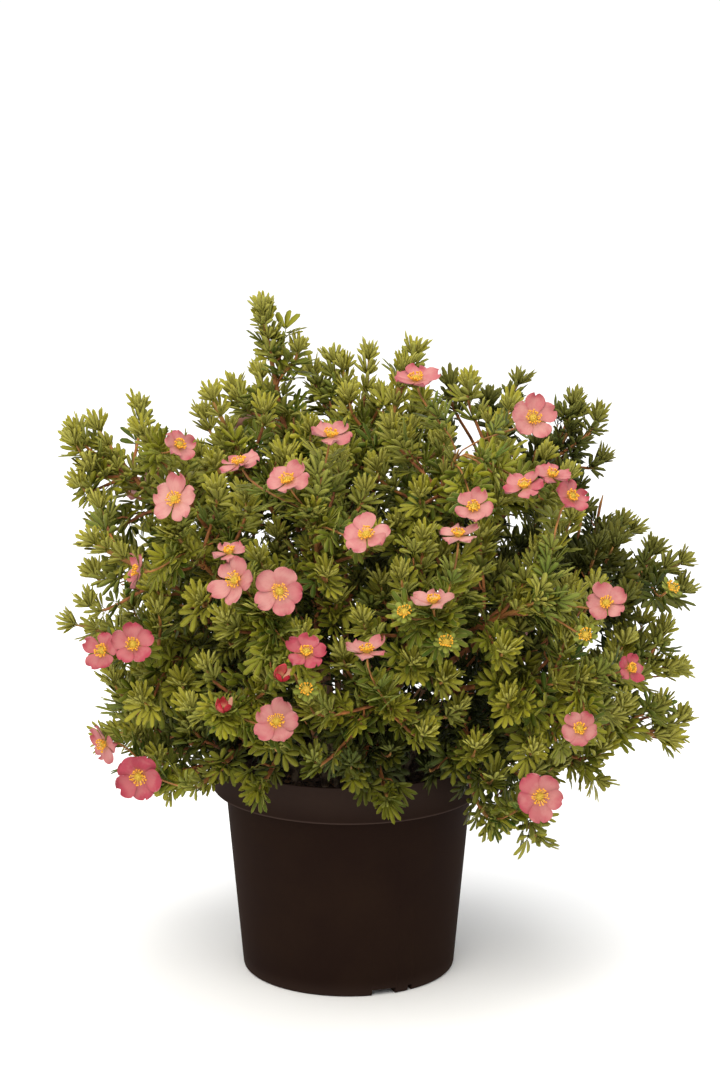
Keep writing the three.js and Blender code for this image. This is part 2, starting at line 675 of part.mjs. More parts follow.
// One leaf on a shoot at a share of its length. If it would touch another piece it turns on round the
// shoot, and it stays off where it finds no place.
function growLeaf(shoot, inner, k, others, random) {
  const share = LEAVES_FROM - k * LEAVES_STEP;
  const point = shoot.getPointAt(share);
  const ahead = shoot.getTangentAt(share);
  const side = at(ahead.y, -ahead.x, 0.01).normalize();
  for (let attempt = 0; attempt < LEAF_TRIES; attempt++) {
    const turn = k * LEAF_TURN + attempt * LEAF_TRY_TURN + LEAF_TURN_WANDER * random();
    const out = side.clone().applyAxisAngle(ahead, THREE.MathUtils.degToRad(turn));
    const lean = k === 0 ? LEAF_LEAN_AT_TIP : THREE.MathUtils.lerp(...LEAF_LEAN, random());
    const way = ahead.clone().addScaledVector(out, lean).normalize();
    const foot = faceOf(inner, point, out).addScaledVector(way, -LEAF_ROOT);
    const above = ahead.clone().lerp(UP, 0.5);
    above.addScaledVector(way, -above.dot(way));
    const length = THREE.MathUtils.lerp(LEAF_LEAST_LENGTH, LEAF_MOST_LENGTH, random());
    const shape = placed(leaf(k === 0 ? LEAF_OF_FIVE : LEAF_OF_THREE, length), foot, above, way);
    const blade = boxed(solidOf(shape));
    if (keepsClear(blade, others)) return [blade];
  }
  return [];
}

// Leaves stand round a shoot in a spiral, and the one at its tip fans out
function growLeaves(shoot, geometry, count, others, random) {
  const inner = new THREE.Mesh(geometry, new THREE.MeshBasicMaterial({ side: THREE.DoubleSide }));
  const leaves = [];
  for (let k = 0; k < count; k++)
    leaves.push(...growLeaf(shoot, inner, k, [...others, ...leaves], random));
  return leaves;
}

// The foliage of every stem: first the inner foliage of all, then the leaves, each clear of the other nodes
function growFoliage(stems, fixed) {
  const random = seeded(LEAF_SEED);
  const heads = headBalls();
  const samples = stems.flatMap(({ shoots }) =>
    shoots.flatMap((shoot) => shoot.getSpacedPoints(ROOM_SAMPLES).map((point) => ({ shoot, point }))),
  );
  for (const stem of stems) stem.parts = stem.solids.map(boxed);
  const othersOf = (stem) => [
    ...fixed,
    ...stems.filter((other) => other !== stem).flatMap(({ parts }) => parts),
  ];
  const inner = new Map();
  for (const stem of stems)
    for (const shoot of stem.shoots) {
      const { geometry, mass } = growMass(shoot, othersOf(stem), samples, heads);
      inner.set(shoot, geometry);
      stem.parts.push(mass);
    }
  for (const stem of stems)
    for (const shoot of stem.shoots) {
      const count = shoot === stem.shoots[0] ? LEAVES_ON_LEADER : LEAVES_ON_FORK;
      stem.parts.push(...growLeaves(shoot, inner.get(shoot), count, othersOf(stem), random));
    }
}

function shrub() {
  const stems = STEMS.map(growStem);
  const potBody = pot();
  const soilBody = soil(stems.map(({ foot }) => foot));
  const blooms = growBlooms(stems);
  const buds = growOpeningBuds(stems);
  growSeedHeads(stems);
  growFoliage(stems, [potBody, soilBody, ...blooms, ...buds].map(boxed));
  const group = new THREE.Group();
  group.name = "potted_shrubby_cinquefoil";
  const number = (k) => String(k + 1).padStart(2, "0");
  group.add(nodeOf("pot", potBody, { roughness: 0.55 }));
  group.add(nodeOf("soil", soilBody, { roughness: 1 }));
  stems.forEach(({ parts }, k) => {
    const body = joined(parts.map(({ solid }) => solid));
    group.add(nodeOf(`leafy_stem_${number(k)}`, body, { roughness: 0.6 }));
  });
  blooms.forEach((body, k) => group.add(nodeOf(`bloom_${number(k)}`, body, { roughness: 0.7 })));
  buds.forEach((body, k) => group.add(nodeOf(`opening_bud_${number(k)}`, body, { roughness: 0.7 })));
  return group;
}

export default shrub();
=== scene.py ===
"""Looks of a potted shrubby cinquefoil: pot, soil, woody stems, leaves, flowers, buds and seed heads.

Sizes are in millimetres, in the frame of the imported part, and every mesh is made in metres.
"""

import bpy
import numpy as np
from mathutils import Matrix, Vector


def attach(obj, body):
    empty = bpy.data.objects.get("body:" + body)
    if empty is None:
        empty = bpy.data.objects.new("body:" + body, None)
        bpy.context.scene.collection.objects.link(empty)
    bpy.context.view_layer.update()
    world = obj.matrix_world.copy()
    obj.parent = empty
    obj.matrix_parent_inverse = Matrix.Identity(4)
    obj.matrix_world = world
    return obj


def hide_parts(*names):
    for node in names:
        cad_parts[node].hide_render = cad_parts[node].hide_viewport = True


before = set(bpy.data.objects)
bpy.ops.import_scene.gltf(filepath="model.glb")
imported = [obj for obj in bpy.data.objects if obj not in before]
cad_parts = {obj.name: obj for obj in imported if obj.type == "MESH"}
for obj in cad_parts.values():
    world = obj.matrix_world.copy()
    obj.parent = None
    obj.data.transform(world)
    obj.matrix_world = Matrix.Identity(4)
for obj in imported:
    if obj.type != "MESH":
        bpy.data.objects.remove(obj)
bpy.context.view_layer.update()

MM = 0.001
UP = np.array([0.0, 0.0, 1.0])
TURN = 2 * np.pi
NEAR_TURN = 6.28
DRAWS = np.random.default_rng(7852)

# Camera: the photograph's own view, 720 by 1080 pixels
CAMERA_PLACE = np.array([7.9, -2500.0, 914.0])
CAMERA_AIM = np.array([7.9, 0.0, 301.0])
CAMERA_FOCUS_PIXELS = 3804
PHOTO_HEIGHT_PIXELS = 1080
SENSOR = 36
WORLD_LIGHT = 1.08
LIGHT_AIM = Vector((0, 0, 0.25))
FLOOR_REACH = 15000

# Pot
POT_SIDES = 144
POT_BASE_RADIUS = 72.7
POT_WALL_TOP_RADIUS = 84.5
POT_BAND_FOOT_RADIUS = 93.3
POT_RIM_RADIUS = 95
POT_BAND_FOOT = 129
POT_HEIGHT = 155
POT_WALL = 2
FOOT_RING_WIDTH = 9
FOOT_RING_INSIDE = POT_BASE_RADIUS - FOOT_RING_WIDTH
FOOT_PAD_RADIUS = 34
CHANNEL_HEIGHT = 5
NOTCH_ANGLES = [19.4, 199.4]
NOTCH_WIDTH = 17
NUB_WIDTH = 9.5
NUB_GAP = 3
DRAIN_HOLES = 6
DRAIN_RADIUS = 4.5

# Soil
SOIL_TOP = 136
SOIL_SIDES = 96
SOIL_RINGS = 30
SOIL_BUMPS = 2.2
CRUMBS = 420
CRUMB_RADII = [0.7, 2.3]
CHIP_SHARE = 0.2

# Stems as the tips that their shoots reach: the first shoot is the leader and the others fork from it
STEMS = [
    [[-56, 5, 452], [-90, -30, 404]],
    [[-3, 22, 414], [36, -8, 420]],
    [[108, -12, 394], [72, -92, 384]],
    [[158, 68, 372], [116, 62, 396]],
    [[226, 4, 284], [196, 66, 290]],
    [[184, -50, 132], [216, -24, 168], [222, -10, 214]],
    [[152, -122, 236], [126, -86, 118], [92, -112, 140]],
    [[58, -166, 292], [122, -144, 296]],
    [[28, -172, 232], [26, -128, 158]],
    [[-56, -166, 296], [-22, -142, 352]],
    [[-84, -158, 228], [-58, -124, 164]],
    [[-132, -74, 136], [-100, -104, 158], [-164, -22, 168]],
    [[-186, -8, 244], [-146, -88, 246]],
    [[-168, 6, 376], [-136, -46, 384]],
    [[-112, -104, 330], [-168, -56, 312]],
    [[-112, 118, 322], [-156, 92, 214]],
    [[-34, 146, 352], [-62, 172, 232]],
    [[62, 148, 344], [52, 182, 214]],
    [[134, 134, 262], [166, 106, 184]],
    [[-60, 82, 396], [14, 78, 410]],
]
# Tufts that stand out of the shrub's outline, as the tips of more twigs
EDGE_TUFTS = [
    [-182, 0, 374], [-172, -12, 352], [-165, -30, 330], [-141, 20, 386], [-172, -50, 268],
    [-78, 50, 393], [-24, 40, 406], [-10, 30, 417], [69, 30, 400], [96, 40, 388], [170, 60, 370],
    [174, 60, 342], [207, 20, 286], [226, 0, 265], [213, -10, 238], [212, -20, 190], [226, -10, 176],
    [154, 66, 380], [160, 70, 352], [158, 60, 322], [176, 62, 318], [188, 60, 296], [204, 40, 270],
    [192, 30, 262], [-57, 4, 457], [-34, 0, 431], [44, 4, 428], [80, 0, 406], [-183, -10, 370],
    [-179, -20, 343], [-168, -40, 285],
]
# Openings that can be seen through between the shoots, as their middle and radius
GAPS = [
    ([81, 0, 370], 13), ([-113, 0, 111], 11), ([-155, 0, 372], 7.5),
    ([172, 0, 329], 9), ([-160, 0, 266], 6), ([138, 0, 64], 14),
]
# Low shoots whose leaves end a little before their tip, as the stem's place and the shoot's
SHORT_SHOOTS = {(11, 0): 0.84, (5, 0): 0.86}
# How much darker the leaves of the two stems at the back on the right are, which stand in the shade
STEM_SHADES = {3: 0.9, 4: 0.8}
STEM_FOOT = 124
STEM_FREE_FROM = 142
CROWN_INNER_RADIUS = 13
CROWN_OUTER_RADIUS = 42
CROWN_LOW_TIP = 130
CROWN_HIGH_TIP = 450
CROWN_FULL_REACH = 150
LEVEL_TIP = 200
UPRIGHT_TIP = 400
FORK_OPENING = 0.5
FIRST_FORK = 0.34
FORK_STEP = 0.12
LEADER_RADII = [2.6, 1.45]
FORK_RADII = [1.8, 1.35]
TWIG_RADII = [1.25, 1.0]
TIP_TAPER = 0.35
TIP_TUFT_BACK = 2.2
SIDE_RADII = [0.7, 0.6]
STALK_RADII = [0.55, 0.75]

# Flowers as middle, the way they face, radius and how deep a rose they are from 0 to 1.
# An entry with several has flowers whose petals touch. The last nine are on the far side.
FLOWERS = [
    [([-110, -85, 385], [0.5, -0.6, 0.6], 13, 0.45)],
    [([-111, -116, 356], [-0.4, -0.65, 0.6], 18, 0.2)],
    [([-69, -125, 382], [-0.3, -0.15, 0.95], 16, 0.35)],
    [([-38, -145, 375], [-0.2, -0.45, 0.85], 16, 0.3)],
    [([-11, -129, 401], [0.1, -0.3, 0.9], 15, 0.4)],
    [([44, -92, 430], [-0.1, -0.3, 0.95], 17, 0.5)],
    [([120, -90, 404], [0.1, -0.85, 0.5], 17, 0.35)],
    [
        ([113, -134, 369], [-0.2, -0.35, 0.9], 15, 0.55),
        ([131, -121, 373], [0.2, -0.3, 0.9], 14, 0.6),
        ([143, -129, 361], [0.5, -0.6, 0.6], 13, 0.7),
    ],
    [([80, -155, 360], [-0.1, -0.7, 0.7], 14, 0.35)],
    [([70, -168, 345], [0, -0.2, 1], 15, 0.15)],
    [([12, -172, 346], [-0.15, -0.6, 0.8], 17, 0.3)],
    [([-135, -120, 310], [-0.9, -0.3, 0.3], 13, 0.6)],
    [
        ([-71, -165, 315], [-0.45, -0.75, 0.45], 18, 0.25),
        ([-75, -152, 330], [-0.2, -0.2, 0.95], 12, 0.35),
    ],
    [([-43, -180, 312], [0.15, -0.95, 0.2], 18, 0.4)],
    [([-160, -104, 252], [-0.45, -0.8, 0.35], 15, 0.75)],
    [([-139, -129, 263], [0.1, -0.85, 0.45], 16, 0.75)],
    [([-26, -189, 274], [0.05, -0.6, 0.8], 15, 0.95)],
    [([12, -193, 276], [0, -0.2, 0.97], 15, 0.3)],
    [([54, -185, 306], [0, -0.15, 0.98], 16, 0.05)],
    [([-45, -184, 227], [-0.05, -0.7, 0.7], 17, 0.5)],
    [([-162, -75, 180], [-0.75, -0.55, -0.1], 16, 0.45)],
    [([-138, -103, 166], [-0.1, -0.98, -0.05], 18.5, 0.9)],
    [([166, -139, 293], [-0.15, -0.75, 0.65], 15, 0.3)],
    [([183, -125, 246], [0.5, -0.7, 0.4], 11, 0.85)],
    [([150, -150, 212], [-0.3, -0.7, 0.6], 14, 0.4)],
    [([124, -150, 167], [0.15, -0.95, 0.2], 18, 0.6)],
    [([-72, 128, 352], [-0.3, 0.75, 0.6], 17, 0.4)],
    [([16, 158, 346], [0.1, 0.75, 0.65], 18, 0.3)],
    [([-142, 112, 312], [-0.6, 0.55, 0.55], 17, 0.5)],
    [([-22, 186, 318], [-0.1, 0.9, 0.4], 18, 0.35)],
    [([106, 154, 328], [0.4, 0.75, 0.5], 16, 0.6)],
    [([178, 112, 268], [0.75, 0.5, 0.4], 16, 0.3)],
    [([-106, 160, 238], [-0.5, 0.8, 0.3], 18, 0.5)],
    [([24, 196, 244], [0.1, 0.95, 0.3], 16, 0.25)],
    [([122, 158, 202], [0.55, 0.8, 0.2], 17, 0.65)],
]
OPENING_BUDS = [
    ([-43, -184, 256], [0.35, -0.6, 0.7]),
    ([-79, -171, 231], [0, -0.5, 0.86]),
]
SEED_HEADS = [
    ([62, -188, 280], [0.1, -0.7, 0.7]),
    ([153, -148, 274], [-0.3, -0.7, 0.6]),
    ([213, -66, 284], [0.5, -0.5, 0.7]),
    ([36, -189, 300], [-0.2, -0.7, 0.7]),
    ([-26, -190, 250], [0, -0.8, 0.6]),
]
# The way that the first petal of every head turns to
HEAD_TURNED_TO = np.array([1, 0.3, 0.1])
PETALS = 5
PETAL_LENGTHS = [0.78, 0.95]
PETAL_WIDTHS = [0.76, 0.94]
CUP = 0.2
CUPS = [0.1, 2.4]
PETAL_TILT = 0.16
PETAL_CLAW = 2.0
BUD_HEIGHTS = [-0.5, 1.2, 3.4, 6.0, 8.4, 10.2]
BUD_WIDTHS = [1.4, 3.2, 4.6, 4.9, 4.4, 3.6]
BUD_WRAP = 0.85
PETAL_RUFFLE = 1.25
PETAL_STAGGER = 0.7
PETAL_LIFTS = [(-1, -1), (1, 1), (-1, -1), (1, 1), (-1, 1)]
BACK_DEPTH = 1.8
BUD_DEPTH = 1.5
CALYX_GAP = 0.5
SEED_HEAD_RADIUS = 7
STALK_SHARES = np.arange(0.4, 0.96, 0.05)
STALK_LEAST = 24
STALK_BEND = 0.35
STALK_TURNED_BACK_COST = 30
STALK_LEAVES_AT = [0.12, 0.24, 0.36, 0.48, 0.6, 0.72]
PISTILS = 34
PISTIL_RADIUS = 0.42
DOME_RADIUS = 2.5
STAMENS = 24
SEED_HEAD_STAMENS = 18
STAMEN_FOOT = 2.3
STAMEN_RADII = [0.22, 0.19, 0.16]
STAMEN_REACHES = [0.2, 0.31]
STAMEN_HEIGHTS = [2.2, 3.9]
ANTHER_RADIUS = 0.66
CALYX_RADIUS = 2.7
SEPAL_WIDTH = 4.2
OUTER_LOBE_WIDTH = 2.4
OUTER_LOBE_SHARE = 0.85
BUD_SEPALS = 8.5
SHEET_THICKNESS = 0.28

# Leaves: each kind as its end leaflet and the pairs beside it, as foot along the stalk, angle and length,
# then their width, how far they fold up and how far they arch down
LEAF_KINDS = {
    "open": ([(8.2, 0, 14.2), (7.8, 40, 13.2), (5.2, 74, 11.2)], 4.1, 0.2, 0.14),
    "half": ([(5.6, 0, 14.8), (5.3, 31, 13.8), (3.8, 57, 11.6)], 3.5, 0.38, -0.04),
    "closed": ([(3.4, 0, 15.6), (3.2, 25, 14.4), (2.4, 48, 12.2)], 2.9, 0.44, -0.08),
    "three": ([(7.0, 0, 13.8), (6.5, 34, 12.4)], 4.0, 0.34, 0.08),
}
LEAF_COPIES = 4
# Rings along a leaflet as shares of its length and width, for near, far and deep leaves
LEAF_RINGS = {
    "near": [(0.2, 0.5), (0.58, 1.0), (0.88, 0.82)],
    "far": [(0.34, 0.8), (0.8, 0.92)],
    "deep": [(0.5, 1.0)],
}
LEAF_STALK_RADIUS = 0.4
LEAF_RIB_RISE = 0.12
LEAF_RIB_DROP = 0.28
NODE_STEP = 12.6
GOLDEN_TURN = np.radians(137.5)
SHOOT_LEAFY = 135
TWIG_LEAFY = 70
FULL_TO = 32
SIDE_FROM = 16
SIDE_LENGTHS = [9, 24]
SIDE_CHANCE = 0.55
SIDE_GROWS_TO = 60
SIDE_TUFT_FROM = 15

# Leaves at a shoot's tip, near it and farther back, and how many degrees they lean away from the shoot
TIP_LEAVES = 5
FULL_LEAVES = 3.3
THIN_LEAVES = 2.2
LEAF_LEAN = [15, 48]
LEAN_OF_AGE = 30
LEAN_OF_DROOP = 14
# Leaves in front of the pot look older and more shaded from LOW_LEAVES down, over LOW_LEAVES_DEPTH
LOW_LEAVES = 215
LOW_LEAVES_DEPTH = 45
LOW_LEAVES_DARKER = 0.85
# As shares of the way out from the heart: leaves get painted shade inward from SHADED_SHARE, over
# SHADED_DEPTH.
# They have fewer faces below NEAR_SHARE or behind FAR_SIDE, and the fewest below DEEP_SHARE.
SHADED_SHARE = 0.88
SHADED_DEPTH = 0.42
DEEP_SHARE = 0.68
NEAR_SHARE = 0.8
FAR_SIDE = 30
LEAF_MIDDLE = 12
LEAF_TESTED_AT = [6, 13, 21]

# Twigs that fill the shrub up to its outline
HEART = np.array([10.0, -5.0, 165.0])
OUTLINE_SOFTNESS = 0.022
FILL_TRIES = 60000
FILL_SHARES = [0.45, 0.9]
FILL_GAP = 27
FILL_MOST_LENGTH = 115
TIP_CLEAR = 8
TWIG_CLEAR = 2.5
HEAD_CLEAR = 4
LOWEST_TWIG = 122
RIM_CLEAR_HEIGHT = 168
RIM_CLEAR_SIDE = 105
RIM_BARE_HEIGHT = 196
LOW_OUTSIDE = 158
TWIG_SHARES = [0.15, 0.25, 0.35, 0.45, 0.55, 0.65, 0.75, 0.85]
TWIG_LEAST = 40
TWIG_TURNED_BACK_COST = 60
DROOP_BELOW = 172
DROOP_OVER = 40

# How far behind and before a head leaves keep out of it, and how much of it they leave free to be seen
HEAD_BACK = 5
HEAD_FRONT = 20
HEAD_SEEN = 0.64


def unit(vectors):
    vectors = np.asarray(vectors, float)
    return vectors / np.linalg.norm(vectors, axis=-1, keepdims=True)


class Shoot:
    """A smooth curve, read by the share of its length."""

    def __init__(self, *corners, steps=64):
        a, b, c, d = (np.asarray(corner, float) for corner in corners)
        t = np.linspace(0, 1, steps + 1)[:, None]
        self.points = (1 - t) ** 3 * a + 3 * (1 - t) ** 2 * t * b + 3 * (1 - t) * t * t * c + t**3 * d
        pieces = np.linalg.norm(np.diff(self.points, axis=0), axis=1)
        self.reach = np.concatenate([[0], np.cumsum(pieces)])
        self.length = self.reach[-1]

    def at(self, share):
        along = np.clip(share, 0, 1) * self.length
        return np.stack([np.interp(along, self.reach, self.points[:, k]) for k in range(3)], axis=-1)

    def shortened(self, share):
        """The same curve up to a share of its length."""
        made = Shoot(*self.points[[0, 0, 0, 0]])
        made.points = self.at(np.linspace(0, share, len(self.points)))
        made.reach, made.length = self.reach * share, self.length * share
        return made

    def ahead(self, share):
        return unit(self.at(np.minimum(share + 0.02, 1)) - self.at(np.maximum(share - 0.02, 0)))


# Stems and stalks, on the same curves as the solids

def foot_of(tip):
    """Where a stem leaves the soil: the lower and farther its leader reaches, the farther out."""
    height = (CROWN_HIGH_TIP - tip[2]) / (CROWN_HIGH_TIP - CROWN_LOW_TIP)
    out = np.hypot(tip[0], tip[1])
    spread = min(1, out / CROWN_FULL_REACH)
    radius = CROWN_INNER_RADIUS + (CROWN_OUTER_RADIUS - CROWN_INNER_RADIUS) * height * spread
    return np.array([tip[0] / out * radius, tip[1] / out * radius, STEM_FREE_FROM])


def arrival(tip, reach):
    """A high shoot arrives pointing up, a level one pointing out, and a low one bends over and down."""
    rise = np.clip((tip[2] - LEVEL_TIP) / (UPRIGHT_TIP - LEVEL_TIP), -0.5, 1)
    lift = -0.3 * rise if rise > 0 else -0.8 * rise
    return np.array([tip[0] * 0.75, tip[1] * 0.75, tip[2] + lift * reach])


def leader_curve(tip):
    foot = foot_of(tip)
    reach = np.linalg.norm(tip - foot)
    start = foot + np.array([tip[0] * 0.06, tip[1] * 0.06, 0.42 * reach])
    return Shoot(foot, start, arrival(tip, reach), tip)


def fork_curve(leader, share, tip):
    foot = leader.at(share)
    reach = np.linalg.norm(tip - foot)
    way = (1 - FORK_OPENING) * unit(tip - foot) + FORK_OPENING * leader.ahead(share)
    return Shoot(foot, foot + 0.35 * reach * way, arrival(tip, reach), tip)


def grow_stems():
    stems = []
    for tips in STEMS:
        tips = [np.array(tip, float) for tip in tips]
        leader = leader_curve(tips[0])
        forks = [fork_curve(leader, FIRST_FORK + k * FORK_STEP, tip) for k, tip in enumerate(tips[1:])]
        stems.append({"shoots": [leader, *forks], "twigs": [], "stalks": []})
    return stems


def best_start(stems, tip, shares, least, turned_back_cost):
    """The start on a shoot from which a twig or stalk has the least length and bending back to its tip, as
    the stem's number, the start, the shoot's way there and the distance."""
    best = None
    for number, stem in enumerate(stems):
        for shoot in stem["shoots"]:
            for share in shares:
                start, ahead = shoot.at(share), shoot.ahead(share)
                reach = np.linalg.norm(tip - start)
                cost = max(reach, least) + turned_back_cost * (1 - (tip - start) @ ahead / reach)
                if best is None or cost < best[0]:
                    best = (cost, number, start, ahead, reach)
    return best[1:]


def grow_stalk(stems, middle, facing, depth):
    """Adds a stalk from a shoot to the back of a flower, bud or seed head."""
    out = unit(facing)
    top = np.array(middle, float) - out * (depth + CALYX_GAP)
    number, start, ahead, reach = best_start(stems, top, STALK_SHARES, STALK_LEAST, STALK_TURNED_BACK_COST)
    bend = STALK_BEND * reach
    stems[number]["stalks"].append(Shoot(start, start + bend * ahead, top - bend * out, top))
    return number


# Meshes

class Shape:
    """Points, faces and finishes of one piece. Each point also has its lie, which is how far across and
    along a leaf or petal it is, and its tone, which is a chance number, an age and a depth of colour: painted
    shade on leaves, and how rose they are on petals and buds."""

    def __init__(self):
        self.points, self.faces, self.finishes, self.lies, self.tones = [], [], [], [], []
        self.count = 0

    def add(self, points, faces, finish=0, lie=(0, 0, 0), tone=(0.5, 0.5, 0.5)):
        """Faces is a list of arrays of triangles or of quads, and finish a number for all or for each."""
        points = np.asarray(points, float).reshape(-1, 3)
        finishes = finish if isinstance(finish, (list, tuple)) else [finish] * len(faces)
        for part, number in zip(faces, finishes):
            self.faces.append(np.asarray(part, int) + self.count)
            self.finishes.append(np.full(len(part), number))
        self.points.append(points)
        self.lies.append(np.broadcast_to(np.asarray(lie, float), points.shape))
        self.tones.append(np.broadcast_to(np.asarray(tone, float), points.shape))
        self.count += len(points)

    def mesh(self, name, materials):
        mesh = bpy.data.meshes.new(name)
        points = np.vstack(self.points) * MM
        sizes = np.concatenate([np.full(len(part), part.shape[1]) for part in self.faces])
        corners = np.concatenate([part.ravel() for part in self.faces])
        mesh.vertices.add(len(points))
        mesh.vertices.foreach_set("co", points.ravel())
        mesh.loops.add(len(corners))
        mesh.loops.foreach_set("vertex_index", corners)
        mesh.polygons.add(len(sizes))
        mesh.polygons.foreach_set("loop_start", np.concatenate([[0], np.cumsum(sizes)[:-1]]))
        mesh.polygons.foreach_set("loop_total", sizes)
        mesh.polygons.foreach_set("material_index", np.concatenate(self.finishes))
        mesh.polygons.foreach_set("use_smooth", np.ones(len(sizes), bool))
        mesh.update(calc_edges=True)
        for label, values in (("lie", self.lies), ("tone", self.tones)):
            layer = mesh.attributes.new(label, "FLOAT_VECTOR", "POINT")
            layer.data.foreach_set("vector", np.vstack(values).ravel())
        for material in materials:
            mesh.materials.append(material)
        mesh.validate()
        return mesh


def linked(name, data):
    """An object in the scene."""
    obj = bpy.data.objects.new(name, data)
    bpy.context.scene.collection.objects.link(obj)
    return obj


def piece(name, shape, materials, slot, *replaced):
    """Makes one named object, which rides on the root body and stands for the CAD nodes named."""
    obj = linked(name, shape.mesh(name, materials))
    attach(obj, "root")
    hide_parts(*replaced)
    return obj


def closed_rings(first, rings, last):
    """A closed body from a point, rings of points that follow each other and another point."""
    sides = len(rings[0])
    here = np.arange(sides)
    following = (here + 1) % sides
    rows = 1 + sides * np.arange(len(rings))[:, None]
    low, high = rows[:-1], rows[1:]
    walls = np.stack([low + here, low + following, high + following, high + here], axis=-1)
    tip = 1 + len(rings) * sides
    foot = np.stack([np.zeros(sides, int), 1 + following, 1 + here], axis=1)
    top = np.stack([rows[-1] + here, rows[-1] + following, np.full(sides, tip)], axis=1)
    return np.vstack([first, *rings, last]), [foot, walls.reshape(-1, 4), top]


def turned(profile, sides):
    """A profile of radius and height turned about an upright axis, on which its ends lie."""
    turns = np.linspace(0, TURN, sides, endpoint=False)
    rings = [np.stack([r * np.cos(turns), r * np.sin(turns), np.full(sides, z)], axis=1) for r, z in profile]
    return closed_rings([0, 0, profile[0][1]], rings[1:-1], [0, 0, profile[-1][1]])


def ball(radius, rings, sides, stretch):
    """A closed rounded body along +Z."""
    tilts = np.pi * np.arange(rings + 1) / rings
    return turned(list(zip(radius * np.sin(tilts), -radius * stretch * np.cos(tilts))), sides)


def tube(shape, path, radii, sides, finish=0, ages=None):
    """A round stem along a path, closed at both ends. Wood is given an age at each point of its path."""
    path = np.asarray(path, float)
    ways = unit(np.gradient(path, axis=0))
    side = np.cross(ways[0], UP if abs(ways[0][2]) < 0.9 else [1, 0, 0])
    turns = np.linspace(0, TURN, sides, endpoint=False)[:, None]
    rings = []
    for point, way, radius in zip(path, ways, radii):
        side = unit(side - way * (side @ way))
        rings.append(point + radius * (np.cos(turns) * side + np.sin(turns) * np.cross(way, side)))
    points, faces = closed_rings(path[0], rings, path[-1])
    tones = np.full(points.shape, 0.5)
    if ages is not None:
        tones[:, 0] = DRAWS.random()
        tones[:, 1] = [ages[0], *np.repeat(ages, sides), ages[-1]]
    shape.add(points, faces, finish, tone=tones)


def sheet_faces(rows, columns):
    """Faces of a thin closed sheet from a grid of points: those on top, those below, and the points of the
    grid's inside, copies of which follow the grid and make the side below."""
    grid = np.arange(rows * columns).reshape(rows, columns)
    inner = grid[1:-1, 1:-1].ravel()
    upper = np.stack([grid[:-1, :-1], grid[1:, :-1], grid[1:, 1:], grid[:-1, 1:]], axis=-1).reshape(-1, 4)
    below = grid.ravel().copy()
    below[inner] = rows * columns + np.arange(len(inner))
    return upper, below[upper][:, ::-1], inner


def spin(points, turn):
    c, s = np.cos(turn), np.sin(turn)
    return points @ np.array([[c, -s, 0], [s, c, 0], [0, 0, 1]]).T


def sharpen(obj, degrees):
    """Keeps corners crisp and the rest smooth."""
    obj.data.polygons.foreach_set("use_smooth", np.ones(len(obj.data.polygons), bool))
    obj.data.set_sharp_from_angle(angle=np.radians(degrees))


# Leaves

def leaflet(foot, angle, length, width, fold, arch, detail="near"):
    """One closed leaflet as points, upper faces, under faces and the lie of its points."""
    rings = LEAF_RINGS[detail]
    points, lie = [(0, 0, 0)], [(0, 0, 0)]
    for share, half in rings:
        x, edge = share * length, half * width / 2
        ring = [(x, edge, fold * edge), (x, -edge, fold * edge), (x, 0, -LEAF_RIB_DROP)]
        across = [(1, share, 0), (-1, share, 0), (0, share, 0)]
        if detail != "deep":
            ring.insert(1, (x, 0, LEAF_RIB_RISE))
            across.insert(1, (0, share, 0))
        points += ring
        lie += across
    points, lie = np.array([*points, (length, 0, 0)], float), np.array([*lie, (0, 1, 0)], float)
    points[:, 2] -= arch * points[:, 0] ** 2 / length
    turn = np.radians(angle)
    x, y = points[:, 0].copy(), points[:, 1].copy()
    points[:, 0] = foot + x * np.cos(turn) - y * np.sin(turn)
    points[:, 1] = x * np.sin(turn) + y * np.cos(turn)
    tip, sides = len(points) - 1, 3 if detail == "deep" else 4
    upper, under = [], []
    for k in range(sides):
        n = (k + 1) % sides
        last = 1 + sides * (len(rings) - 1)
        strip = [(0, 1 + n, 1 + k), (last + k, last + n, tip)]
        for low in range(1, last, sides):
            strip += [(low + k, low + n, low + sides + n), (low + k, low + sides + n, low + sides + k)]
        (upper if k < sides - 2 else under).extend(strip)
    return points, np.array(upper), np.array(under), lie


def leaf_template(leaflets, width, fold, arch, detail):
    """A whole leaf: its stalk, the end leaflet and the pairs beside it, each a little different."""
    points, upper, under, lie = [], [], [], []
    count = 0
    for foot, angle, length in leaflets:
        for side in (1, -1) if angle else (1,):
            part = leaflet(
                foot,
                side * angle + DRAWS.normal(0, 4),
                length * DRAWS.uniform(0.86, 1.1),
                width * DRAWS.uniform(0.88, 1.12),
                fold * DRAWS.uniform(0.7, 1.3),
                arch + DRAWS.normal(0, 0.06),
                detail,
            )
            points.append(part[0])
            upper.append(part[1] + count)
            under.append(part[2] + count)
            lie.append(part[3])
            count += len(part[0])
    end = leaflets[0][0] + 0.6
    radius = LEAF_STALK_RADIUS
    corners = [(0.9, 0), (-0.5, 0.8), (-0.5, -0.8)]
    stalk = [(x, y * radius, z * radius) for x in (0, end) for z, y in corners]
    sides = [(0, 1, 4), (0, 4, 3), (1, 2, 5), (1, 5, 4), (2, 0, 3), (2, 3, 5), (0, 2, 1), (3, 4, 5)]
    points.append(np.array(stalk, float))
    upper.append(np.array(sides)[:, ::-1] + count)
    lie.append(np.zeros((6, 3)))
    return np.vstack(points), np.vstack(upper), np.vstack(under), np.vstack(lie)


def leaf_templates():
    kinds = {}
    for name, kind in LEAF_KINDS.items():
        for detail in LEAF_RINGS:
            kinds[name, detail] = [leaf_template(*kind, detail) for _ in range(LEAF_COPIES)]
    return kinds


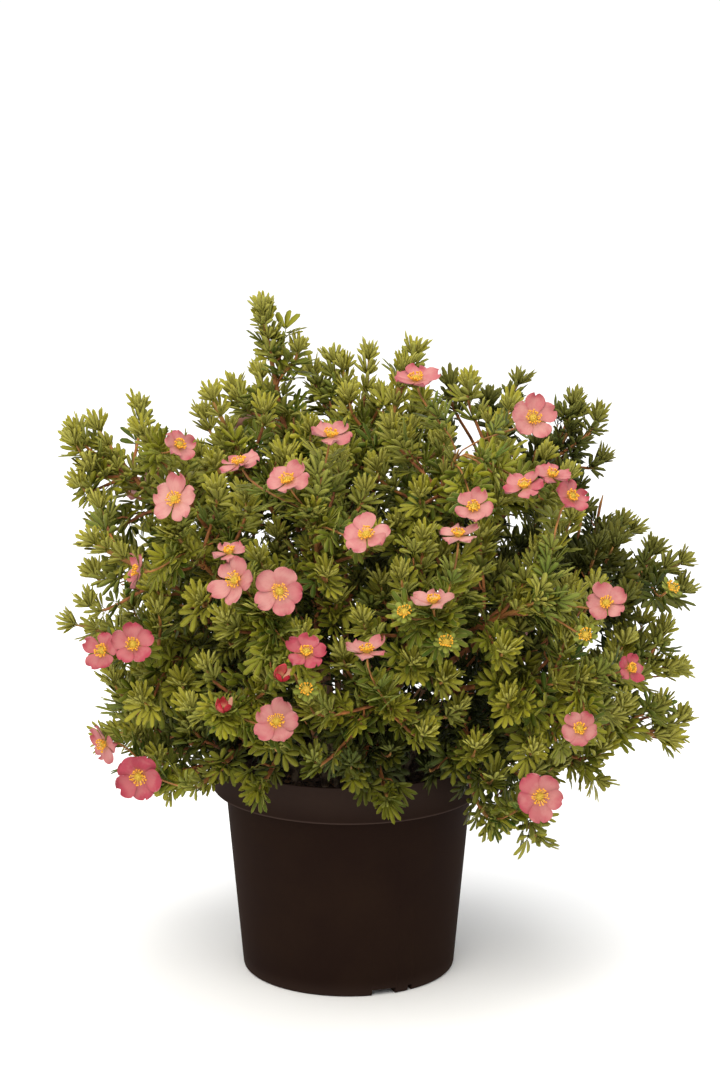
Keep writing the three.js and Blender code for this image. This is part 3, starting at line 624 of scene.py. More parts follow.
class Heads:
    """Every flower, bud and seed head as a disc, and the openings, which leaves and twigs keep free."""

    def __init__(self):
        flowers = [flower for entry in FLOWERS for flower in entry]
        small = [(middle, facing, SEED_HEAD_RADIUS, 0) for middle, facing in OPENING_BUDS + SEED_HEADS]
        self.middle = np.array([head[0] for head in flowers + small], float)
        self.facing = unit([head[1] for head in flowers + small])
        self.radius = np.array([head[2] for head in flowers + small], float)
        self.seen = self.middle[:, 1] < 0
        self.to_camera = unit(CAMERA_PLACE - self.middle)
        self.gap_middle = np.array([middle for middle, _ in GAPS], float)
        self.gap_radius = np.array([radius for _, radius in GAPS], float)
        self.gap_way = unit(CAMERA_PLACE - self.gap_middle)

    def hidden_by(self, points, margin=1.0):
        """True for each point in a head, just before it, between it and the camera, or in an opening."""
        offset = points[:, None, :] - self.middle
        along = np.sum(offset * self.facing, axis=2)
        across = np.linalg.norm(offset - along[:, :, None] * self.facing, axis=2)
        before = (along > -HEAD_BACK) & (along < HEAD_FRONT) & (across < self.radius + margin)
        slant = np.sum(self.to_camera * self.facing, axis=1)
        slant = np.where(np.abs(slant) < 0.15, 0.15, slant)
        depth = along / slant
        hit = offset - depth[:, :, None] * self.to_camera
        shaded = self.seen & (depth > 0) & (np.linalg.norm(hit, axis=2) < self.radius * HEAD_SEEN + margin)
        beside = points[:, None, :] - self.gap_middle
        beside = beside - np.sum(beside * self.gap_way, axis=2, keepdims=True) * self.gap_way
        in_gap = np.linalg.norm(beside, axis=2) < self.gap_radius
        return np.any(before | shaded, axis=1) | np.any(in_gap, axis=1)


class Outline:
    """How far the shrub reaches from its heart, smoothed over the tips of its shoots and its flowers."""

    def __init__(self, tips):
        self.ways = unit(tips - HEART)
        self.reaches = np.linalg.norm(tips - HEART, axis=1)

    def reach(self, ways):
        weights = np.exp((ways @ self.ways.T - 1) / OUTLINE_SOFTNESS) + 1e-9
        return weights @ self.reaches / weights.sum(axis=1)

    def share(self, points):
        """Goes from 0 at the heart to 1 at the outline."""
        offset = points - HEART
        return np.linalg.norm(offset, axis=1) / self.reach(unit(offset))


def in_pot(points, gap=1.5):
    """True for points in the pot's wall or soil, or nearly so."""
    radius, height = np.hypot(points[..., 0], points[..., 1]), points[..., 2]
    wall = POT_BASE_RADIUS + (POT_WALL_TOP_RADIUS - POT_BASE_RADIUS) * height / POT_BAND_FOOT
    outer = np.where(height > POT_BAND_FOOT - gap, POT_RIM_RADIUS, wall)
    over_soil = (radius < POT_BAND_FOOT_RADIUS - POT_WALL - gap) & (height > SOIL_TOP + 3)
    return (height < POT_HEIGHT + gap) & (radius < outer + gap) & ~over_soil


class Leaves:
    """Leaves to be, as kind, foot, way, upper side, size and tone."""

    def __init__(self):
        self.rows = []

    def add(self, kind, foot, way, above, size, young):
        tone = [DRAWS.random(), young, 0]
        self.rows.append((kind, int(DRAWS.integers(LEAF_COPIES)), foot, unit(way), above, size, tone))

    def fill(self, shape, templates, heads, outline, shade):
        """Places copies of the templates, except where they would hide a head or cross the pot."""
        feet, ways, aboves = (np.array([row[k] for row in self.rows]) for k in (2, 3, 4))
        sizes = np.array([row[5] for row in self.rows])[:, None]
        hidden = np.zeros(len(feet), bool)
        for reach in LEAF_TESTED_AT:
            place = feet + ways * reach * sizes
            hidden |= heads.hidden_by(place) | in_pot(place)
        frames = leaf_frames(ways, aboves)
        shares = outline.share(feet + ways * LEAF_MIDDLE)
        tones = np.array([row[6] for row in self.rows])
        # Painted shade: a deeper colour for leaves low in front of the pot, deep in the shrub and on the
        # stems in the shade; the low ones are also older
        low = np.clip((LOW_LEAVES - feet[:, 2]) / LOW_LEAVES_DEPTH, 0, 1)
        low *= LOW_LEAVES_DARKER * np.exp(-((feet[:, 0] / POT_RIM_RADIUS) ** 2))
        tones[:, 1] *= 1 - low
        tones[:, 2] = np.clip(shade + low + (SHADED_SHARE - shares) / SHADED_DEPTH, 0, 1)
        far = (shares < NEAR_SHARE) | (feet[:, 1] > FAR_SIDE)
        details = np.where(shares < DEEP_SHARE, "deep", np.where(far, "far", "near"))
        keys = [(row[0], str(detail), row[1]) for row, detail in zip(self.rows, details)]
        for (kind, detail), copies in templates.items():
            for number, (points, upper, under, lie) in enumerate(copies):
                mine = [i for i, key in enumerate(keys) if key == (kind, detail, number) and not hidden[i]]
                if not mine:
                    continue
                placed = np.einsum("nij,mj->nmi", frames[mine], points) * sizes[mine][:, None]
                offsets = (np.arange(len(mine)) * len(points))[:, None, None]
                shape.add(
                    placed + feet[mine][:, None],
                    [(upper + offsets).reshape(-1, 3), (under + offsets).reshape(-1, 3)],
                    [0, 1],
                    np.tile(lie, (len(mine), 1)),
                    np.repeat(tones[mine], len(points), axis=0),
                )


def leaf_frames(ways, aboves):
    """Frames of leaves: X along the leaf and Z on its upper side."""
    z = unit(aboves - ways * np.sum(aboves * ways, axis=1, keepdims=True))
    return np.stack([ways, np.cross(z, ways), z], axis=-1)


def around(ahead, turn):
    """A direction at right angles to a shoot, turned about it."""
    side = unit(np.array([ahead[1], -ahead[0], 0.01]))
    return np.cos(turn) * side + np.sin(turn) * np.cross(ahead, side)


def tuft(leaves, point, ahead, turn, count, young, droop):
    """Leaves of one node: upright and half folded near a tip, open and lower down farther back."""
    for number in range(count):
        out = around(ahead, turn + number * TURN / count + DRAWS.normal(0, 0.3))
        lean = np.radians(DRAWS.uniform(*LEAF_LEAN) + LEAN_OF_AGE * (1 - young) + LEAN_OF_DROOP * droop)
        way = ahead * np.cos(lean) + out * np.sin(lean)
        way = unit(way + UP * (0.2 * (1 - droop) - 0.35 * droop))
        above = ahead * np.sin(lean) - out * np.cos(lean) + UP * (0.5 + 0.5 * (1 - young))
        above = above + DRAWS.normal(0, 0.15, 3)
        size = DRAWS.uniform(0.84, 1.14) * (1 - 0.1 * young**2)
        if droop > 0.5:
            kind = "open" if DRAWS.random() < 0.8 else "three"
        elif young > 0.8:
            kind = "closed"
        elif young > 0.35:
            kind = "half" if DRAWS.random() < 0.75 else "open"
        else:
            kind = "open" if DRAWS.random() < 0.7 else "three"
        leaves.add(kind, point, way, above, size, young)


def dress(wood, leaves, curve, leafy, droop, heads):
    """Leaves round the outer part of a shoot, with short side twigs, and a tuft at its tip."""
    turn = DRAWS.uniform(0, TURN)
    behind = 0.0
    while behind < min(leafy, curve.length - 4):
        share = 1 - max(behind, TIP_TUFT_BACK) / curve.length
        point, ahead = curve.at(share), curve.ahead(share)
        young = 1 - behind / leafy
        turn += GOLDEN_TURN
        fullness = TIP_LEAVES if behind == 0 else FULL_LEAVES if behind < FULL_TO else THIN_LEAVES
        tuft(leaves, point, ahead, turn, int(fullness + DRAWS.random() * (behind > 0)), young, droop)
        if behind > SIDE_FROM and DRAWS.random() < SIDE_CHANCE:
            side_twig(wood, leaves, point, ahead, turn, behind, young, droop, heads)
        behind += NODE_STEP * DRAWS.uniform(0.85, 1.15)


def side_twig(wood, leaves, point, ahead, turn, behind, young, droop, heads):
    """A short twig with a tuft at its end, and one more halfway where it is long enough."""
    least, most = SIDE_LENGTHS
    length = least + (most - least) * min(1, behind / SIDE_GROWS_TO) * DRAWS.random()
    out = around(ahead, turn + 1)
    end = point + length * unit(ahead + 0.9 * out + 0.2 * UP * (1 - droop))
    side = Shoot(point, point + 0.4 * length * out, end - 0.4 * length * ahead, end, steps=12)
    path = side.at(np.linspace(0, 1, 4))
    if heads.hidden_by(path).any() or in_pot(path).any():
        return
    tube(wood, path, np.linspace(*SIDE_RADII, 4), 4, ages=[0.6, 0.7, 0.8, 0.9])
    tuft(leaves, end, side.ahead(1), turn, 3, young, droop)
    if length > SIDE_TUFT_FROM:
        tuft(leaves, side.at(0.45), side.ahead(0.45), turn + 1, 2, young * 0.8, droop)


def drooping(tip):
    """Goes from 0 for a tip that stands up to 1 for one that hangs over the pot's edge."""
    return float(np.clip((DROOP_BELOW - tip[2]) / DROOP_OVER, 0, 1))


def add_twig(stems, number, twig, taken):
    """Adds a twig to a stem, and returns the places taken with those of the twig."""
    stems[number]["twigs"].append(twig)
    return np.vstack([taken, twig.at(np.linspace(0.6, 1, 4))])


def fill_twig(stems, tip):
    """A twig to a free place, from the shoot that reaches it with the least bending back."""
    droop = drooping(tip)
    outward = unit((tip - HEART) * [1, 1, 0.6])
    arriving = unit(outward * (0.45 + 0.5 * droop) + UP * (0.9 - 1.3 * droop))
    number, start, ahead, reach = best_start(stems, tip, TWIG_SHARES, TWIG_LEAST, TWIG_TURNED_BACK_COST)
    way = unit(ahead + unit(tip - start))
    return number, Shoot(start, start + 0.35 * reach * way, tip - 0.3 * reach * arriving, tip, steps=24)


def least_height(tip):
    """Twigs end higher before the bare part of the rim, at the front on the left, than elsewhere."""
    if tip[1] < 0 and abs(tip[0]) < RIM_CLEAR_SIDE:
        return RIM_BARE_HEIGHT if tip[0] < 0 else RIM_CLEAR_HEIGHT
    return LOW_OUTSIDE if tip[1] < 60 else LOWEST_TWIG


def fill_shrub(stems, outline, heads):
    """Twigs to the edge tufts, and to chance places that keep their distance from all shoots and twigs."""
    taken = np.vstack([shoot.at(np.linspace(0.45, 1, 12)) for stem in stems for shoot in stem["shoots"]])
    for tip in EDGE_TUFTS:
        taken = add_twig(stems, *fill_twig(stems, np.array(tip, float)), taken)
    for _ in range(FILL_TRIES):
        way = unit(DRAWS.normal(size=3))
        share = np.cbrt(DRAWS.uniform(FILL_SHARES[0] ** 3, FILL_SHARES[1] ** 3))
        tip = HEART + way * share * outline.reach(way[None])[0]
        if tip[2] < least_height(tip) or in_pot(tip, TIP_CLEAR):
            continue
        gap = FILL_GAP * (1.35 - 0.35 * share)
        if np.min(np.linalg.norm(taken - tip, axis=1)) < gap or heads.hidden_by(tip[None], HEAD_CLEAR).any():
            continue
        number, twig = fill_twig(stems, tip)
        path = twig.at(np.linspace(0.08, 1, 10))
        if twig.length > FILL_MOST_LENGTH or in_pot(path, TWIG_CLEAR).any() or heads.hidden_by(path, 0).any():
            continue
        taken = add_twig(stems, number, twig, taken)


def grow_wood(wood, curve, radii, steps, sides, first_age):
    """A tapered shoot or twig, youngest at its tip. One that is aged 0 at its foot runs on into the soil."""
    widths = np.linspace(*radii, steps)
    widths[-1] *= TIP_TAPER
    path, ages = curve.at(np.linspace(0, 1, steps)), np.linspace(first_age, 1, steps)
    if first_age == 0:
        path = np.vstack([path[0] * [1, 1, 0] + UP * STEM_FOOT, path])
        widths = np.concatenate([[radii[0] * 1.3], widths])
        ages = np.concatenate([[0], ages])
    tube(wood, path, widths, sides, ages=ages)


def leafy_stem(number, stem, heads, outline, templates, finishes):
    """The wood of one stem as a piece, and its leaves as another."""
    wood, green, leaves = Shape(), Shape(), Leaves()
    for k, shoot in enumerate(stem["shoots"]):
        shoot = shoot.shortened(SHORT_SHOOTS.get((number, k), 1))
        grow_wood(wood, shoot, FORK_RADII if k else LEADER_RADII, 18, 8, 0.3 if k else 0)
        dress(wood, leaves, shoot, SHOOT_LEAFY, drooping(shoot.points[-1]), heads)
    for twig in stem["twigs"]:
        grow_wood(wood, twig, TWIG_RADII, 9, 5, 0.3)
        dress(wood, leaves, twig, min(TWIG_LEAFY, 0.85 * twig.length), drooping(twig.points[-1]), heads)
    for stalk in stem["stalks"]:
        tube(wood, stalk.at(np.linspace(0, 1, 8)), np.linspace(*STALK_RADII, 8), 6, ages=np.full(8, 0.9))
        for share in STALK_LEAVES_AT:
            turn = DRAWS.uniform(0, NEAR_TURN)
            tuft(leaves, stalk.at(share), stalk.ahead(share), turn, 3 if share < 0.6 else 2, 0.4, 0)
    leaves.fill(green, templates, heads, outline, STEM_SHADES.get(number, 0))
    name = f"leafy_stem_{number + 1:02d}"
    piece(f"wood_{number + 1:02d}", wood, [finishes["bark"]], "foliage", name)
    sides = [finishes["leaf_upper"], finishes["leaf_under"]]
    piece(f"leaves_{number + 1:02d}", green, sides, "foliage", name)


# Flowers

def petal(length, width, notch, lifts):
    """One petal as a thin closed sheet from its claw to its broad end, with upper faces first."""
    along = np.array([0, 0.16, 0.34, 0.52, 0.68, 0.81, 0.91, 0.97, 1.0])
    across = np.linspace(-1, 1, 9)
    swell = 0.2 + 0.8 * np.sin(np.clip(along / 0.66, 0, 1) * np.pi / 2) ** 1.25
    round_end = np.sqrt(np.clip(1 - (np.clip(along - 0.58, 0, 1) / 0.44) ** 2, 0, 1))
    half = width / 2 * swell * np.where(along > 0.58, round_end, 1)
    u, v = np.meshgrid(along, across, indexing="ij")
    dip = notch * np.exp(-((v / 0.35) ** 2)) * u**9
    phase, second = DRAWS.uniform(0, TURN, 2)
    ruffle = PETAL_RUFFLE * (np.sin(3.1 * v + phase) * u**2 + 0.6 * np.sin(6 * v + second) * u**4)
    edges = np.where(v > 0, lifts[1], lifts[0]) * PETAL_STAGGER * v**2 * np.clip(u * 2, 0, 1)
    z = ruffle + edges - 0.05 * width * (1 - v**2) * u
    top = np.stack([length * (u - dip), v * half[:, None], z], axis=-1).reshape(-1, 3)
    lie = np.stack([v, u, 0 * u], axis=-1).reshape(-1, 3)
    upper, under, inner = sheet_faces(len(along), len(across))
    points = np.vstack([top, top[inner] - [0, 0, SHEET_THICKNESS]])
    return points, upper, under, np.vstack([lie, lie[inner]])


def placer(middle, facing):
    """Moves points from a flower's own frame, with Z the way it faces, to where it is on the plant."""
    z = unit(facing)
    x = unit(HEAD_TURNED_TO - z * (HEAD_TURNED_TO @ z))
    frame_of_head = np.stack([x, np.cross(z, x), z])
    return lambda points: points @ frame_of_head + middle


def flower_petals(shape, place, radius, rose):
    """Five petals of which two lie over both neighbours, two under both and one between."""
    start = DRAWS.uniform(0, TURN)
    for k, lifts in enumerate(PETAL_LIFTS):
        length = (radius - PETAL_CLAW) * DRAWS.uniform(*PETAL_LENGTHS)
        width = radius * DRAWS.uniform(*PETAL_WIDTHS)
        points, upper, under, lie = petal(length, width, DRAWS.uniform(0, 0.1), lifts)
        points[:, 0] += PETAL_CLAW
        reach = np.hypot(points[:, 0], points[:, 1]) / radius
        points[:, 2] += radius * CUP * reach**2 * DRAWS.uniform(*CUPS)
        points[:, 2] += DRAWS.normal(0, PETAL_TILT) * points[:, 1] * reach
        points = spin(points, start + TURN * k / PETALS + DRAWS.normal(0, 0.07))
        shape.add(place(points), [upper, under], [0, 1], lie, (DRAWS.random(), 0.5, rose))


def flower_middle(shape, place, radius, finishes, stamens):
    """A dome of small pistils with a ring of stamens round it, in the finishes of filaments, anthers and
    pistils."""
    filament, anther, pistil = finishes
    dome, faces = ball(DOME_RADIUS, 6, 12, 0.75)
    shape.add(place(dome + [0, 0, 0.7]), faces, pistil)
    for k in range(PISTILS):
        lift = 1 - (k + 0.5) / PISTILS
        turn = k * GOLDEN_TURN
        out = np.array([np.cos(turn) * np.sqrt(1 - lift**2), np.sin(turn) * np.sqrt(1 - lift**2), lift])
        grain, faces = ball(PISTIL_RADIUS, 3, 4, 1.4)
        shape.add(place(grain + out * [2.45, 2.45, 1.9] + [0, 0, 0.9]), faces, pistil)
    for k in range(stamens):
        turn = TURN * k / stamens + DRAWS.normal(0, 0.09)
        out = np.array([np.cos(turn), np.sin(turn), 0])
        reach = DRAWS.uniform(*STAMEN_REACHES) * radius
        height = DRAWS.uniform(*STAMEN_HEIGHTS)
        bend = out * (STAMEN_FOOT + reach) / 2 + UP * height * 0.7
        end = out * reach + UP * height
        path = np.array([out * STAMEN_FOOT + UP * 0.7, bend, end])
        tube(shape, place(path), STAMEN_RADII, 3, filament)
        tip, faces = ball(ANTHER_RADIUS, 3, 5, 1.25)
        shape.add(place(tip + end), faces, anther, tone=(DRAWS.random(), 0.5, 0.5))


def sepals(shape, place, reach, finish, lift, depth):
    """Two rings of five pointed green lobes under a flower, on a small cup."""
    cup, faces = ball(CALYX_RADIUS, 6, 12, 0.6)
    shape.add(place(cup + [0, 0, 0.5 - depth]), faces, finish)
    for k in range(2 * PETALS):
        outer = (reach * OUTER_LOBE_SHARE, OUTER_LOBE_WIDTH, 0.3)
        length, width, drop = (reach, SEPAL_WIDTH, 0) if k % 2 else outer
        points, upper, under, lie = leaflet(1.2, 0, length, width, 0.2, 0)
        points[:, 2] += lift * points[:, 0] ** 2 / reach - depth + 0.4 - drop
        points = spin(points, TURN * k / 2 / PETALS)
        shape.add(place(points), [upper, under], finish, lie, (DRAWS.random(), 0.6, 0.5))


def flowers(finishes):
    order = ["petal_front", "petal_back", "filament", "anther", "pistil", "sepal"]
    for number, entry in enumerate(FLOWERS):
        shape = Shape()
        for middle, facing, radius, rose in entry:
            place = placer(middle, facing)
            flower_petals(shape, place, radius, rose)
            flower_middle(shape, place, radius, (2, 3, 4), STAMENS)
            sepals(shape, place, 0.48 * radius, 5, 0.0, BACK_DEPTH)
        name = f"bloom_{number + 1:02d}"
        obj = piece(f"flower_{number + 1:02d}", shape, [finishes[key] for key in order], "petals", name)
        sharpen(obj, 75)


def opening_bud(shape, place):
    """A cup of petals that part at their tips, red outside and creamy inside, with sepals below."""
    across = np.linspace(-1, 1, 9)
    upper, under, inner = sheet_faces(len(BUD_HEIGHTS), len(across))
    for k in range(PETALS):
        swell = DRAWS.uniform(0.9, 1.1)
        part = DRAWS.uniform(-0.6, 2.2)
        points, lie = [], []
        for height, width in zip(BUD_HEIGHTS, BUD_WIDTHS):
            share = max(0, height) / BUD_HEIGHTS[-1]
            for v in across:
                turn = TURN * k / PETALS + BUD_WRAP * v * (1 - 0.45 * share**2)
                radius = (width + part * share**2) * swell * (1 + 0.08 * v)
                points.append((radius * np.cos(turn), radius * np.sin(turn), height - 2.6 * v**2 * share**2))
                lie.append((v, share, 0))
        points, lie = np.array(points), np.array(lie)
        body = np.vstack([points, points[inner] * [0.92, 0.92, 1]])
        tone = (DRAWS.random(), 0.5, 0.95 if k else 0.1)
        shape.add(place(body), [upper[:, ::-1], under[:, ::-1]], [0, 2], np.vstack([lie, lie[inner]]), tone)
    sepals(shape, place, BUD_SEPALS, 1, 0.55, BUD_DEPTH)


def opening_buds(finishes):
    materials = [finishes[key] for key in ("bud_petal", "sepal", "bud_inner")]
    for number, head in enumerate(OPENING_BUDS):
        shape = Shape()
        opening_bud(shape, placer(*head))
        piece(f"bud_{number + 1:02d}", shape, materials, "bud_skin", f"opening_bud_{number + 1:02d}")


def seed_heads(finishes, owners):
    materials = [finishes[key] for key in ("sepal", "filament", "anther", "pistil")]
    for number, head in enumerate(SEED_HEADS):
        shape, place = Shape(), placer(*head)
        sepals(shape, place, SEED_HEAD_RADIUS + 0.5, 0, 0.25, BACK_DEPTH - 2 * CALYX_GAP)
        flower_middle(shape, place, 15, (1, 2, 3), SEED_HEAD_STAMENS)
        name = f"leafy_stem_{owners[number] + 1:02d}"
        piece(f"seed_head_{number + 1:02d}", shape, materials, "foliage", name)


# Pot and soil

def rounded(corner, before, after, size, steps=3):
    """Points that round off one corner of a profile."""
    corner, before, after = (np.array(p, float) for p in (corner, before, after))
    start = corner + unit(before - corner) * size
    end = corner + unit(after - corner) * size
    t = np.linspace(0, 1, steps + 1)[:, None]
    return [tuple(p) for p in (1 - t) ** 2 * start + 2 * (1 - t) * t * corner + t * t * end]


def pot_profile():
    corners = [
        ((FOOT_PAD_RADIUS, 0), 0.6),
        ((FOOT_PAD_RADIUS, CHANNEL_HEIGHT), 0.6),
        ((FOOT_RING_INSIDE, CHANNEL_HEIGHT), 0.6),
        ((FOOT_RING_INSIDE, 0), 0.6),
        ((POT_BASE_RADIUS, 0), 2.6),
        ((POT_WALL_TOP_RADIUS, POT_BAND_FOOT), 1.2),
        ((POT_BAND_FOOT_RADIUS, POT_BAND_FOOT), 0.9),
        ((POT_RIM_RADIUS, POT_HEIGHT), 0.9),
        ((POT_RIM_RADIUS - POT_WALL, POT_HEIGHT), 0.7),
        ((POT_BAND_FOOT_RADIUS - POT_WALL, POT_BAND_FOOT + POT_WALL), 1.0),
        ((POT_WALL_TOP_RADIUS - POT_WALL, POT_BAND_FOOT + POT_WALL), 0.9),
        ((POT_BASE_RADIUS - POT_WALL, CHANNEL_HEIGHT + POT_WALL), 2.0),
    ]
    places = [(0, 0), *(corner for corner, _ in corners), (0, CHANNEL_HEIGHT + POT_WALL)]
    profile = [places[0]]
    for k, (corner, size) in enumerate(corners):
        profile += rounded(corner, places[k], places[k + 2], size)
    return [*profile, places[-1]]


def plain_mesh(name, points, faces):
    mesh = bpy.data.meshes.new(name)
    places = [tuple(point) for point in np.asarray(points, float) * MM]
    mesh.from_pydata(places, [], [tuple(map(int, face)) for face in faces])
    return linked(name, mesh)


def box_cutter(angle, offset, width):
    """Cuts the foot ring over a width, up to just below the base."""
    x0, x1 = offset - width / 2, offset + width / 2
    y0, y1 = 1 - FOOT_RING_INSIDE, -(FOOT_RING_INSIDE + 1.5 * FOOT_RING_WIDTH)
    outline = [(x0, y1), (x1, y1), (x1, y0), (x0, y0)]
    heights = (-CHANNEL_HEIGHT, CHANNEL_HEIGHT - 0.5)
    corners = np.array([(x, y, z) for z in heights for x, y in outline], float)
    faces = [(3, 2, 1, 0), (4, 5, 6, 7), (0, 1, 5, 4), (1, 2, 6, 5), (2, 3, 7, 6), (3, 0, 4, 7)]
    return plain_mesh("notch", spin(corners, np.radians(angle)), faces)


def drain_cutter(turn):
    reach = (FOOT_PAD_RADIUS + FOOT_RING_INSIDE) / 2
    points, parts = turned([(0, -1), (DRAIN_RADIUS, -1), (DRAIN_RADIUS, 12), (0, 12)], 24)
    faces = [face for part in parts for face in part]
    return plain_mesh("drain", points + [reach * np.cos(turn), reach * np.sin(turn), 0], faces)


def pot(finishes):
    shape = Shape()
    shape.add(*turned(pot_profile(), POT_SIDES))
    obj = piece("nursery_pot", shape, [finishes["pot_plastic"]], "pot_plastic", "pot")
    beside_nub = NOTCH_WIDTH / 2 + NUB_WIDTH + NUB_GAP / 2
    cutters = [box_cutter(angle, 0, NOTCH_WIDTH) for angle in NOTCH_ANGLES]
    cutters += [box_cutter(angle, beside_nub, NUB_GAP) for angle in NOTCH_ANGLES]
    cutters += [drain_cutter(TURN * k / DRAIN_HOLES) for k in range(DRAIN_HOLES)]
    for tool in cutters:
        cut = obj.modifiers.new("cut", "BOOLEAN")
        cut.operation = "DIFFERENCE"
        cut.solver = "EXACT"
        cut.object = tool
    bpy.context.view_layer.update()
    done = bpy.data.meshes.new_from_object(obj.evaluated_get(bpy.context.evaluated_depsgraph_get()))
    obj.modifiers.clear()
    obj.data = done
    for tool in cutters:
        bpy.data.objects.remove(tool)
    sharpen(obj, 35)


def soil_wave(x, y):
    return SOIL_BUMPS * np.sin(x / 9 + 1) * np.cos(y / 7 - 0.6)


def soil(finishes):
    """Crumbly peat: a bumpy top, and loose crumbs and bark chips lying in it."""
    shape = Shape()
    inner = POT_WALL_TOP_RADIUS - POT_WALL - 0.9
    low = POT_BASE_RADIUS - POT_WALL - 0.8
    base = CHANNEL_HEIGHT + POT_WALL + 0.3
    across = [(radius, SOIL_TOP) for radius in np.linspace(inner, 0, SOIL_RINGS + 1)]
    points, faces = turned([(0, base), (low, base), (inner, POT_BAND_FOOT - 2), *across], SOIL_SIDES)
    top = points[:, 2] > SOIL_TOP - 1
    x, y = points[top, 0], points[top, 1]
    wave = soil_wave(x, y) + np.sin(x / 3.1 - y / 4.3) * np.cos(y / 2.7 + x / 8)
    edge = np.clip((inner - np.hypot(x, y)) / 6, 0, 1)
    points[top, 2] += wave * edge - 4 * (1 - edge) + DRAWS.normal(0, 0.45, top.sum()) * edge
    shape.add(points, faces)
    for _ in range(CRUMBS):
        reach, turn = (inner - 5) * np.sqrt(DRAWS.random()), DRAWS.uniform(0, TURN)
        size = DRAWS.uniform(*CRUMB_RADII)
        crumb, crumb_faces = ball(size, 4, 6, DRAWS.uniform(0.4, 0.9))
        crumb = crumb * DRAWS.uniform(0.75, 1.3, crumb.shape)
        x, y = reach * np.cos(turn), reach * np.sin(turn)
        crumb = spin(crumb, DRAWS.uniform(0, NEAR_TURN)) + [x, y, SOIL_TOP + soil_wave(x, y) + 0.3 * size]
        shape.add(crumb, crumb_faces, int(DRAWS.random() < CHIP_SHARE), tone=(DRAWS.random(), 0.5, 0.5))
    obj = piece("potting_mix", shape, [finishes["peat"], finishes["bark_chip"]], "potting_soil", "soil")
    sharpen(obj, 60)


# Materials

# Places of the colour sockets on a Mix node, which gives several sockets the same name
MIX_AMOUNT, MIX_FIRST, MIX_SECOND, MIX_RESULT = 0, 6, 7, 2


def colour(text):
    """A colour written as six hexadecimal digits, as the linear values that shaders take."""
    values = [int(text[k:k + 2], 16) / 255 for k in (0, 2, 4)]
    return tuple(v / 12.92 if v <= 0.04045 else ((v + 0.055) / 1.055) ** 2.4 for v in values) + (1.0,)


def node(tree, kind, inputs=None, **settings):
    """Adds a shader node. An input is a value or the output of another node."""
    made = tree.nodes.new("ShaderNode" + kind)
    for key, value in settings.items():
        setattr(made, key, value)
    for key, value in (inputs or {}).items():
        if isinstance(value, bpy.types.NodeSocket):
            tree.links.new(value, made.inputs[key])
        else:
            made.inputs[key].default_value = value
    return made


def mixed(tree, amount, first, second):
    made = node(tree, "Mix", {MIX_AMOUNT: amount, MIX_FIRST: first, MIX_SECOND: second}, data_type="RGBA")
    return made.outputs[MIX_RESULT]


def maths(tree, operation, first, second=0.0, clamp=False):
    made = node(tree, "Math", {0: first, 1: second}, operation=operation, use_clamp=clamp)
    return made.outputs[0]


def stepped(tree, value, low, high, start=0.0, end=1.0):
    """Goes smoothly from start to end as a value goes from low to high."""
    inputs = {"Value": value, "From Min": low, "From Max": high, "To Min": start, "To Max": end}
    return node(tree, "MapRange", inputs, interpolation_type="SMOOTHSTEP").outputs["Result"]


def new_group(name, inputs, outputs):
    """A shader node group with named sockets, its input node and its output node."""
    group = bpy.data.node_groups.new(name, "ShaderNodeTree")
    for label, value in inputs.items():
        kind = "NodeSocketFloat" if isinstance(value, float) else "NodeSocketColor"
        group.interface.new_socket(label, in_out="INPUT", socket_type=kind).default_value = value
    for label, kind in outputs.items():
        group.interface.new_socket(label, in_out="OUTPUT", socket_type="NodeSocket" + kind)
    return group, group.nodes.new("NodeGroupInput").outputs, group.nodes.new("NodeGroupOutput").inputs


def mottle_group():
    """Soft patches of two colours at one size, with a mask for roughness."""
    grey = (0.5, 0.5, 0.5, 1)
    sockets = {"First": grey, "Second": grey, "Size": 60.0, "Contrast": 0.3}
    group, given, result = new_group("Mottle", sockets, {"Color": "Color", "Mask": "Float"})
    place = node(group, "TexCoord").outputs["Object"]
    noise = node(group, "TexNoise", {"Vector": place, "Scale": given["Size"], "Detail": 4.0})
    low = maths(group, "SUBTRACT", 0.5, given["Contrast"])
    high = maths(group, "ADD", 0.5, given["Contrast"])
    mask = stepped(group, noise.outputs["Fac"], low, high)
    group.links.new(mixed(group, mask, given["First"], given["Second"]), result["Color"])
    group.links.new(mask, result["Mask"])
    return group


def grain_group():
    """Fine unevenness of a surface as a normal."""
    sockets = {"Size": 900.0, "Depth": 0.00005, "Strength": 0.5}
    group, given, result = new_group("Fine grain", sockets, {"Normal": "Vector"})
    place = node(group, "TexCoord").outputs["Object"]
    noise = node(group, "TexNoise", {"Vector": place, "Scale": given["Size"], "Detail": 3.0}).outputs["Fac"]
    bump = node(group, "Bump", {"Height": noise, "Distance": given["Depth"], "Strength": given["Strength"]})
    group.links.new(bump.outputs["Normal"], result["Normal"])
    return group


def blade_group():
    """How far a point is across and along a leaflet or petal, and its chance number, age and depth, which is
    painted shade on leaves and how rose a petal is.
    """
    labels = ("Along", "Chance", "Age", "Depth")
    group, _, result = new_group("Lie of a blade", {}, {name: "Float" for name in ("Across", *labels)})
    lie, tone = (node(group, "Attribute", attribute_name=name).outputs["Vector"] for name in ("lie", "tone"))
    lie, tone = (node(group, "SeparateXYZ", {"Vector": value}).outputs for value in (lie, tone))
    group.links.new(maths(group, "ABSOLUTE", lie["X"]), result["Across"])
    for value, name in zip((lie["Y"], tone["X"], tone["Y"], tone["Z"]), labels):
        group.links.new(value, result[name])
    return group


def new_material(name, **constants):
    """A material with its shader. Constants go on the shader's own sockets."""
    material = bpy.data.materials.new(name)
    material.use_nodes = True
    shader = material.node_tree.nodes["Principled BSDF"]
    for key, value in constants.items():
        shader.inputs[key.replace("_", " ").title().replace("Ior", "IOR")].default_value = value
    return material, material.node_tree, shader


def placed_group(tree, group, inputs=None):
    return node(tree, "Group", inputs, node_tree=group).outputs


